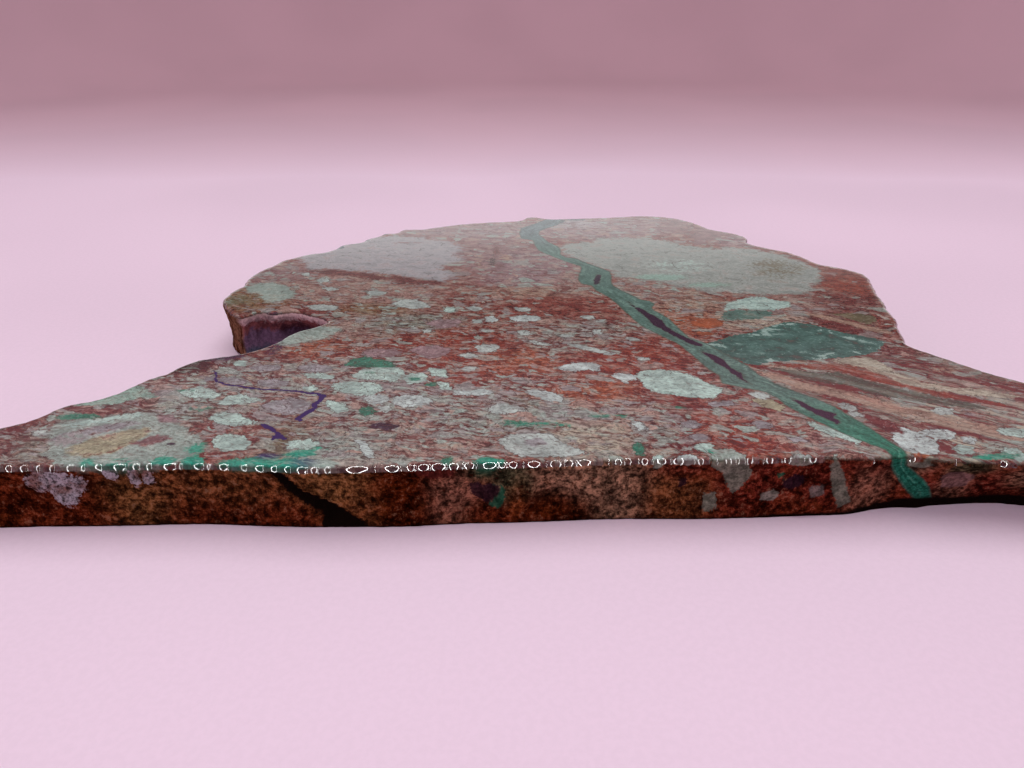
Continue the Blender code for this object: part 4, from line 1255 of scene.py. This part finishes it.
def laySide(mesh, vertices, flat, under):
    # the side's colours: the front by its own patches, the notch with its painted light, the painted shadow
    # along the foot, the crack and the crust
    drop = vertices[:, 2] - shape["thickness"]
    front = (vertices[:, 1] < shape["frontEnds"] + 2.5) & (flat[:, 1] < shape["frontEnds"])
    patches = [(x, v, rx, rv, name, 0.0) for x, v, rx, rv, name in sidePatches]
    colour = np.tile(linear("brokenBrown"), (len(flat), 1))
    colour[front] = blended(np.column_stack([flat[:, 0], drop])[front], patches, "maroon", 0.0)[0]
    store(mesh, "sideColour", colour)
    store(mesh, "frontSide", front.astype(float))
    x, y = notch["middle"]
    away = np.hypot((flat[:, 0] - x) / notch["reach"], (flat[:, 1] - y) / notch["reach"])
    store(mesh, "notch", np.where(front | under, 0.0, smooth(away, *notch["fades"])))
    # painted shadow: a black band along the bottom of the front side, highest under the right wing's
    # overhang
    footHeight = np.interp(flat[:, 0], *frontMarks["footShadowHeights"])
    foot = np.where(front, smooth(footHeight - vertices[:, 2], 0.0, 0.15), 0.0) * (drop < -1)
    store(mesh, "foot", foot)
    along = list(zip(flat[:, 0], drop, front))
    store(mesh, "crack", [crackAt(x, v) if f else 0.0 for x, v, f in along])
    store(mesh, "crust", [max(0.0, crustAt(x, v)) if f else 0.0 for x, v, f in along])


def layBeads(mesh, flat):
    beads = np.array(frontMarks["beads"])
    nearest = np.argmin(np.abs(flat[:, 0, None] - beads[:, 0]) / beads[:, 1], axis=1)
    place = (flat[:, 0] - beads[nearest, 0]) / (1.4 * beads[nearest, 1])
    store(mesh, "beadPlace", np.clip(place, -1.6, 1.6))


def layColours(mesh, vertices, flat):
    under = vertices[:, 2] < 0.01
    where = flat.copy()
    where[under, 0] -= vein["shiftBelow"]
    ground, share = blended(where, grounds, *groundDefault)
    store(mesh, "ground", ground)
    store(mesh, "share", share)
    gap, colour, soft = drawn(where, bodies)
    store(mesh, "bodyGap", gap)
    store(mesh, "bodyColour", colour)
    store(mesh, "bodySoft", soft)
    singles = [(name, outline) for name, group in clasts.items() for outline in group]
    gap, colour, soft = drawn(where, singles)
    store(mesh, "clastGap", np.where(under, farAway, gap))
    store(mesh, "clastColour", colour)
    amount, colour = stained(where)
    store(mesh, "stain", np.where(under, amount * 0.5, amount))
    store(mesh, "stainColour", colour)
    layVein(mesh, where)
    x, y = where.T
    right = smooth(x + wing["slant"] * y, *wing["starts"])
    onTop = np.where(under | (vertices[:, 2] < 7.5), 0.0, 1.0)
    store(mesh, "wing", right * smooth(y, *wing["towardsFront"]) * onTop)
    layVeinlets(mesh, where, under)
    laySide(mesh, vertices, flat, under)
    layBeads(mesh, flat)


layColours(mesh, vertices, flat)
print("colours laid out")


# The stone itself. Noise sizes are given per millimetre.

stone = {
    "warp": 1.6,                    # how far the pattern is bent, and how finely
    "warpScale": 0.28,
    "ragged": 0.50,                 # how ragged the edges of pieces are, and how finely
    "raggedScale": 1.5,
    "flowFall": 12.0,               # the pattern is drawn out along a line that falls to the right
    "bandFall": 34.0,               # and the right wing's bands along a steeper one
    "softens": (-14, 20),           # the pattern is softer behind, down to this much
    "softest": 0.45,
    "polishRoughness": 0.14,
    "sawnRoughness": 0.42,
    "brokenRoughness": 0.55,
    "wet": (0.48, 0.37, 0.31),      # the broken side is darker and redder than its dry rock
    "wetPieces": (0.40, 0.31, 0.27),
    # painted shade: the rounded top edge is darkened by this tint
    "edgeShadeTint": (0.30, 0.20, 0.17),
    "sideStarts": (0.60, 0.76),     # depth below the top at which the broken side begins
    "betweenBeads": 0.30,           # and how much higher it begins between the beads of varnish
    "beadMiddle": 0.32,             # depth of the middle of the beads on the front top edge
    "beadFlatness": 0.36,           # how much flatter than the edge they are from top to bottom
    "beadSlope": 0.55,              # and how steep they are from side to side
    "betweenSlope": 8.0,            # the polish between them looks upwards, and mirrors no ring
}
# Pale fragments: size, gap, the share of ground they need, how many of them above it, where they are taken.
fragmentSizes = [(3.3, 0.12, 0.45, 0.75, 12.4), (1.9, 0.16, 0.0, 0.70, 3.1), (0.85, 0.07, 0.0, 0.80, 7.7)]


def centred(noises):
    return noises.vector("SUBTRACT", (0.5, 0.5, 0.5))


def drawnOut(paint, where, fall, stretch):
    # stretched along a line that falls to the right
    return paint.out("ShaderNodeMapping", {"vector_type": "TEXTURE"}, {
        "Vector": where, "Rotation": (0, 0, math.radians(-fall)), "Scale": (stretch, 1.0, 1.0)})


class Rock:
    # what the polished face's paints share: the bent pattern and its mottle, grain, streaks and bands
    def __init__(self, paint, place):
        wave = centred(paint.noise(place, stone["warpScale"], 1.0, 0.5, 1))
        self.wide = place.vector("ADD", wave.times(stone["warp"]))
        self.ragged = centred(paint.noise(self.wide, stone["raggedScale"], 4.0, 0.62, 1))
        self.fine = self.wide.vector("ADD", self.ragged.times(stone["ragged"]))
        self.flow = drawnOut(paint, self.fine, stone["flowFall"], 1.6)
        self.wobble = self.ragged.part(0)
        self.mottle = paint.noise(self.flow, 0.55, 5.0, 0.64)
        hazy = place.part(1).ramp(*stone["softens"], 1.0, stone["softest"])
        streaks = paint.noise(drawnOut(paint, self.fine, stone["flowFall"], 3.6), 1.9, 4.0, 0.70)
        self.streak = (streaks - 0.5) * hazy + 0.5
        self.grain = (paint.noise(self.flow, 2.9, 4.0, 0.72) - 0.5) * hazy + 0.5
        self.quiet = (self.mottle - 0.5) * hazy + 0.5
        self.share = paint.attribute("share")
        self.wing = paint.attribute("wing")
        banded = place.vector("ADD", wave.times(1.0)).vector("ADD", self.ragged.times(0.25))
        self.bands = paint.noise(drawnOut(paint, banded, stone["bandFall"], 9.0), 0.72, 4.0, 0.68)


def groundPaint(paint, rock):
    # the fine ground between the pieces
    colour = paint.attribute("ground", 0)
    dark = tinted(paint, colour, (0.60, 0.44, 0.50))
    colour = paint.mix(rock.mottle.ramp(0.50, 0.36) * 0.65, colour, dark)
    colour = paint.mix(rock.mottle.ramp(0.52, 0.68) * 0.32, colour, "dustyPink")
    colour = shaded(paint, colour, rock.grain.ramp(0.30, 0.70, 0.52, 1.48))
    wisps = (rock.grain + rock.share * 0.10 + (rock.mottle - 0.5) * 0.3).ramp(0.60, 0.72)
    tint = paint.mix(rock.mottle.ramp(0.42, 0.56), "greyMint", "dustyPink")
    colour = paint.mix(wisps * (0.25 + 0.45 * rock.share), colour, tint)
    patches = paint.noise(drawnOut(paint, rock.fine, stone["flowFall"], 1.9), 0.62, 3.0, 0.66)
    tint = paint.mix(rock.mottle.ramp(0.44, 0.58), "greyMint", "cream")
    colour = paint.mix(patches.ramp(0.55, 0.61) * rock.share * 0.80, colour, tint)
    colour = paint.mix(patches.ramp(0.45, 0.39) * 0.50, colour, "deepRed")
    pales = (rock.streak + rock.share * 0.06).ramp(0.57, 0.65) * (0.20 + 0.60 * rock.share)
    colour = paint.mix(pales, colour, paint.mix(patches, "greyMint", "pale"))
    colour = paint.mix(rock.streak.ramp(0.46, 0.37) * 0.72, colour, "purpleBrown")
    return paint.mix(rock.grain.ramp(0.42, 0.34) * 0.45, colour, "purpleBrown")


def fragmentPaint(paint, colour, rock):
    # pale fragments, the largest first
    for size, gap, least, most, seed in fragmentSizes:
        where = rock.flow.vector("ADD", (seed, seed * 1.7, 0.0))
        dice = paint.cells(where, 1 / size, "F1", 1)
        rim = paint.cells(where, 1 / size, "DISTANCE_TO_EDGE") * size
        lone = ((rock.share - least) * most - dice.part(0)).ramp(-0.01, 0.01)
        inside = rim - gap * (0.5 + 2.0 * dice.part(1)) + rock.wobble * 0.5 + (rock.streak - 0.5) * 0.8
        tint = paint.mix(dice.part(2).ramp(0.15, 0.50), "lilacGrey", "greyMint")
        tint = paint.mix(dice.part(2).ramp(0.60, 0.90), tint, "dustyPink")
        tint = shaded(paint, tint, rock.grain.ramp(0.30, 0.70, 0.66, 1.26),
                      rock.streak.ramp(0.34, 0.60, 0.72, 1.14))
        body = inside.ramp(-0.04, 0.09) * lone
        colour = paint.mix(body * (0.45 + 0.50 * dice.part(1)), colour, tint)
    return colour


def bandPaint(paint, colour, rock, cover):
    # thin bands drawn out along the right wing
    pales = rock.share.ramp(0.20, 0.45, 0.30, 1.0) * cover
    tint = paint.mix(rock.mottle.ramp(0.45, 0.55), "cream", "greyMint")
    colour = paint.mix(rock.bands.ramp(0.53, 0.59) * pales * rock.wing, colour, tint)
    colour = paint.mix(rock.bands.ramp(0.45, 0.39) * cover * rock.wing, colour, "deepRed")
    thin = rock.bands.ramp(0.49, 0.51) * rock.bands.ramp(0.54, 0.52)
    return paint.mix(thin * cover * 0.7 * rock.wing, colour, "greyGreen")


def piecePaint(paint, colour, rock, colourName, gap, soft, cover, lined):
    # pieces in their own colours, partly with a dark line round them
    tint = shaded(paint, paint.attribute(colourName, 0), rock.quiet.ramp(0.32, 0.68, 0.70, 1.22),
                  rock.grain.ramp(0.30, 0.70, 0.74, 1.22))
    tint = paint.mix(rock.streak.ramp(0.42, 0.35) * 0.35, tint, "mauveBrown")
    tint = paint.mix(rock.grain.ramp(0.42, 0.33) * 0.35, tint, "mauveBrown")
    tint = paint.mix(rock.grain.ramp(0.58, 0.70) * 0.30, tint, "white")
    line = gap.ramp(0.15, 0.0) * gap.ramp(-0.12, 0.0) * rock.mottle.ramp(0.38, 0.48)
    colour = paint.mix((gap * -0.5 / soft + 0.5).ramp(0.0, 1.0) * cover, colour, tint)
    return paint.mix(line * lined, colour, "purpleBrown")


def bodyPaint(paint, colour, rock):
    soft = paint.attribute("bodySoft")
    gap = paint.attribute("bodyGap") + rock.wobble * (1.2 + soft * 1.6) + (rock.mottle - 0.5) * soft * 5.0
    cover = 1 - rock.mottle.ramp(0.54, 0.66) * 0.30 - rock.wing * 0.05
    return piecePaint(paint, colour, rock, "bodyColour", gap, soft, cover, 0.35)


def clastPaint(paint, colour, rock):
    gap = paint.attribute("clastGap") + rock.wobble * 1.1 + (rock.streak - 0.5) * 0.9 - 0.10
    return piecePaint(paint, colour, rock, "clastColour", gap, 0.10, 0.95, 0.75)


def hairCrackPaint(paint, colour, rock):
    wavy = rock.wide.vector("ADD", rock.ragged.times(1.3))
    cracks = paint.cells(wavy.vector("MULTIPLY", (0.7, 1.15, 1.0)), 0.30, "DISTANCE_TO_EDGE")
    shown = cracks.ramp(0.024, 0.006) * rock.mottle.ramp(0.52, 0.44) * 0.65
    colour = paint.mix(shown, colour, "purpleBrown")
    threads = paint.cells(wavy.vector("MULTIPLY", (0.55, 1.3, 1.0)), 0.90, "DISTANCE_TO_EDGE")
    shown = threads.ramp(0.050, 0.010) * rock.mottle.ramp(0.42, 0.54) * rock.share.ramp(0.2, 0.6) * 0.80
    return paint.mix(shown, colour, "purpleBrown")


def stainPaint(paint, colour, rock):
    stain = paint.attribute("stain")
    soak = (stain + rock.wobble * 1.1 + (rock.mottle - 0.5) * 0.9).ramp(0.22, 0.55) * stain.ramp(0.02, 0.40)
    tint = shaded(paint, paint.attribute("stainColour", 0), rock.grain.ramp(0.3, 0.7, 0.65, 1.35))
    tint = paint.mix(rock.streak.ramp(0.54, 0.62) * 0.45, tint, "mint")
    return paint.mix(soak * (0.75 + 0.25 * stain), colour, tint)


def lensPaint(paint, colour, rock):
    # the teal lens beside the vein
    gap = paint.attribute("lensGap") + rock.wobble * 1.1
    teal = shaded(paint, "lensTeal", rock.mottle.ramp(0.32, 0.68, 0.66, 1.32),
                  rock.grain.ramp(0.30, 0.70, 0.84, 1.16))
    teal = paint.mix(rock.grain.ramp(0.63, 0.70) * 0.75, teal, "mint")
    teal = paint.mix(rock.mottle.ramp(0.40, 0.32) * 0.35, teal, "mauveBrown")
    teal = paint.mix(rock.mottle.ramp(0.585, 0.63) * gap.ramp(-3.6, -1.2) * 0.70, teal, "paleMint")
    return paint.mix(gap.ramp(0.12, -0.10), colour, teal)


def veinPaint(paint, colour, place, height, wobble, grain, mottle):
    # the malachite vein and its purple cores, on the polish and on the broken side
    y = place.part(1)
    gap = paint.attribute("veinGap") + wobble * 0.45
    across = paint.attribute("veinAcross") + (mottle - 0.5) * 0.7
    strip = paint.out("ShaderNodeCombineXYZ", None, {
        "X": across * 6.0, "Y": y * 0.25 + height * 0.3, "Z": 0.0})
    bands = paint.noise(strip, 1.0, 4.0, 0.62)
    green = paint.mix(y.ramp(-30, -46), "veinGreen", "malachite")
    green = paint.mix(y.ramp(22, 40), green, "veinSlate")
    green = paint.mix(bands.ramp(0.56, 0.70) * 0.12, green, "greyMint")
    green = shaded(paint, green, bands.ramp(0.3, 0.7, 0.66, 1.26), grain.ramp(0.25, 0.75, 0.66, 1.32))
    colour = paint.mix(gap.ramp(0.10, -0.10), colour, green)
    colour = paint.mix(gap.ramp(0.22, 0.0) * gap.ramp(-0.30, -0.02) * 0.55, colour, "darkGreyGreen")
    coreGap = paint.attribute("coreGap") + wobble * 0.7
    colour = paint.mix(coreGap.ramp(0.35, 0.0) * 0.55, colour, "darkGreyGreen")
    core = paint.mix(grain.ramp(0.45, 0.65) * 0.5, "core", "purple")
    return paint.mix(coreGap.ramp(0.06, -0.08), colour, core)


def veinletPaint(paint, colour, rock):
    away = abs(paint.attribute("veinletSide") + rock.wobble * 0.45)
    half = paint.attribute("veinletHalf") + rock.ragged.part(1) * 0.55
    colour = paint.mix((away - half).ramp(0.16, 0.0) * 0.45, colour, "purpleBrown")
    return paint.mix((away - half).ramp(0.05, -0.03), colour, "azurite")


def polishedShader(paint, place, drop, height, under, frontOnly, beadPlace, onBead):
    # the polished top with its rounded edge, and the sawn underside
    rock = Rock(paint, place)
    colour = groundPaint(paint, rock)
    colour = fragmentPaint(paint, colour, rock)
    colour = bandPaint(paint, colour, rock, 0.85)
    colour = bodyPaint(paint, colour, rock)
    colour = bandPaint(paint, colour, rock, 0.30)
    for layer in (clastPaint, hairCrackPaint, stainPaint, lensPaint):
        colour = layer(paint, colour, rock)
    colour = veinPaint(paint, colour, place, height, rock.wobble, rock.grain, rock.mottle)
    colour = veinletPaint(paint, colour, rock)
    colour = paint.mix(under * 0.30, colour, "clayGrey")

    # the rounded edge is painted darker below the top, as painted shade, with beads of varnish at the front
    rounded = (drop + rock.wobble * 0.3).ramp(0.06, 0.34) * (1 - under)
    colour = paint.mix(rounded * 0.95, colour, tinted(paint, colour, stone["edgeShadeTint"]))
    atFront = frontOnly * (1 - under)
    onEdge = drop.ramp(0.02, 0.07) * atFront
    across = drop - stone["beadMiddle"]
    ripple = paint.noise(place, 0.35, 2.0, 0.5)
    relief = ripple * 0.006 + across * across * atFront * stone["beadFlatness"] + under * ripple * 0.02
    bump = paint.out("ShaderNodeBump", None, {"Strength": 1.0, "Distance": mm, "Height": relief})
    tilt = paint.out("ShaderNodeCombineXYZ", None, {
        "X": beadPlace * onEdge * onBead * stone["beadSlope"], "Y": 0.0,
        "Z": onEdge * (1 - onBead) * stone["betweenSlope"]})
    normal = bump.vector("ADD", tilt).vector("NORMALIZE")
    sawn = under * (stone["sawnRoughness"] - stone["polishRoughness"])
    gloss = stone["polishRoughness"] + rock.grain.ramp(0.4, 0.8) * 0.05 + sawn
    gloss = gloss * (1 - onEdge * onBead * 0.75)
    return paint.node("ShaderNodeBsdfPrincipled", None, {
        "Base Color": colour, "Roughness": gloss, "Normal": normal})


def notchColourAndLightPaint(paint, colour, height, lumps, grit):
    # the notch's wall: a painted highlight on the lip, then red, purple and slate downwards, partly its own
    # colours and partly painted shade, all kept brighter than the other sides as painted light
    level = height + (grit - 0.5) * 1.6 + (lumps - 0.5) * 3.0
    wall = paint.mix(level.ramp(5.6, 4.6), "notchRed", "notchPurple")
    wall = paint.mix(level.ramp(2.8, 1.6), wall, "notchSlate")
    wall = paint.mix(level.ramp(6.2, 6.9), wall, "notchLipHighlight")
    wall = shaded(paint, wall, grit.ramp(0.30, 0.70, 0.70, 1.30))
    return paint.mix(paint.attribute("notch"), colour, wall)


def brokenShader(paint, place, height):
    lumps = paint.noise(place, 0.50, 4.0, 0.62, solid=True)
    blotch = paint.noise(place, 1.15, 4.0, 0.70, solid=True)
    grit = paint.noise(place, 2.2, 4.0, 0.76, solid=True)
    streaks = paint.noise(place.vector("MULTIPLY", (1.0, 1.0, 0.12)), 1.1, 2.0, 0.6, solid=True)
    front = paint.attribute("frontSide")
    wobble = grit - 0.5
    uneven = 0.40 + front * 0.60
    colour = shaded(paint, paint.attribute("sideColour", 0), lumps.ramp(0.32, 0.68, 0.35, 1.65),
                    grit.ramp(0.32, 0.68, -0.75, 0.80) * uneven + 1,
                    blotch.ramp(0.36, 0.62, -0.80, 0.80) * uneven + 1)
    colour = paint.mix(lumps.ramp(0.54, 0.68) * 0.35, colour, "rustOrange")
    colour = paint.mix((grit * 0.5 + blotch * 0.5).ramp(0.54, 0.63) * 0.55, colour, "faceBeige")
    colour = paint.mix(grit.ramp(0.42, 0.34) * 0.60, colour, "maroon")
    colour = paint.mix(streaks.ramp(0.48, 0.40) * (1 - front) * 0.85, colour, "deepRust")
    colour = tinted(paint, colour, stone["wet"])
    # the notch's wall is laid on after the darkening, brighter as painted light
    colour = notchColourAndLightPaint(paint, colour, height, lumps, grit)

    # the pieces, stains and vein of the top run on down the side
    for gapName, colourName, cover in (("bodyGap", "bodyColour", 0.45), ("clastGap", "clastColour", 0.92)):
        gap = paint.attribute(gapName) + wobble * 1.1
        tint = tinted(paint, paint.attribute(colourName, 0), stone["wetPieces"])
        tint = shaded(paint, tint, blotch.ramp(0.34, 0.66, 0.50, 1.40), grit.ramp(0.30, 0.70, 0.70, 1.30))
        colour = paint.mix(gap.ramp(0.14, -0.10) * cover, colour, tint)
    soak = paint.attribute("stain") * lumps.ramp(0.36, 0.58, 0.40, 1.10)
    tint = tinted(paint, paint.attribute("stainColour", 0), stone["wetPieces"])
    colour = paint.mix(soak.ramp(0.10, 0.95), colour, tint)
    veined = veinPaint(paint, colour, place, height, wobble, grit, lumps)
    veined = shaded(paint, veined, grit.ramp(0.3, 0.7, 0.34, 0.80))
    colour = paint.mix((paint.attribute("veinGap") + wobble * 0.45).ramp(0.20, 0.0), colour, veined)

    # the crack, the crust and the painted shadow along the foot
    crack = paint.attribute("crack")
    opened = (crack + wobble * 0.9 + (lumps - 0.5) * 1.2).ramp(0.02, 0.25) * crack.ramp(0.0, 0.06)
    colour = paint.mix(opened, colour, "crackAndShadowBlack")
    crust = paint.attribute("crust")
    crust = (crust + wobble * 2.2 + (streaks - 0.5) * 1.2).ramp(0.20, 0.45) * crust.ramp(0.0, 0.12)
    powder = paint.mix(lumps.ramp(0.35, 0.6), "mauveBrown", "crust")
    powder = shaded(paint, powder, grit.ramp(0.36, 0.60, 0.12, 1.0))
    colour = paint.mix(crust * 0.9, colour, powder)
    # painted shadow along the bottom of the front side
    colour = paint.mix(paint.attribute("foot"), colour, "crackAndShadowBlack")
    relief = lumps * 0.45 + grit * 0.06
    bump = paint.out("ShaderNodeBump", None, {"Strength": 1.0, "Distance": mm, "Height": relief})
    gloss = stone["brokenRoughness"] - grit.ramp(0.55, 0.70) * 0.2
    return paint.node("ShaderNodeBsdfPrincipled", None, {
        "Base Color": colour, "Roughness": gloss, "Normal": bump, "Specular IOR Level": 0.0})


def slabMaterial():
    paint = Paint("polishedBreccia")
    place = paint.out("ShaderNodeTexCoord", output=3).times(1 / mm)
    height = place.part(2)
    drop = shape["thickness"] - height
    under = height.ramp(0.06, 0.01)
    frontOnly = place.part(1).ramp(shape["frontEnds"], shape["frontEnds"] - 1)
    beadPlace = paint.attribute("beadPlace") + (paint.noise(place, 2.9, 3.0, 0.7) - 0.5) * 0.25
    onBead = abs(beadPlace).ramp(1.52, 1.42)
    polished = polishedShader(paint, place, drop, height, under, frontOnly, beadPlace, onBead)
    broken = brokenShader(paint, place, height)
    higher = (1 - onBead * frontOnly) * stone["betweenBeads"]
    sunk = drop + higher + (paint.noise(place, 1.3, 3.0, 0.7) - 0.5) * 0.3
    side = sunk.ramp(*stone["sideStarts"]) * (1 - under)
    return paint.finish(paint.either(side, polished, broken))


mesh.materials.append(slabMaterial())
slab = bpy.data.objects.new("slabStone", mesh)
bpy.context.scene.collection.objects.link(slab)
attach(slab, "root")
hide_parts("slab")
print("slab painted")
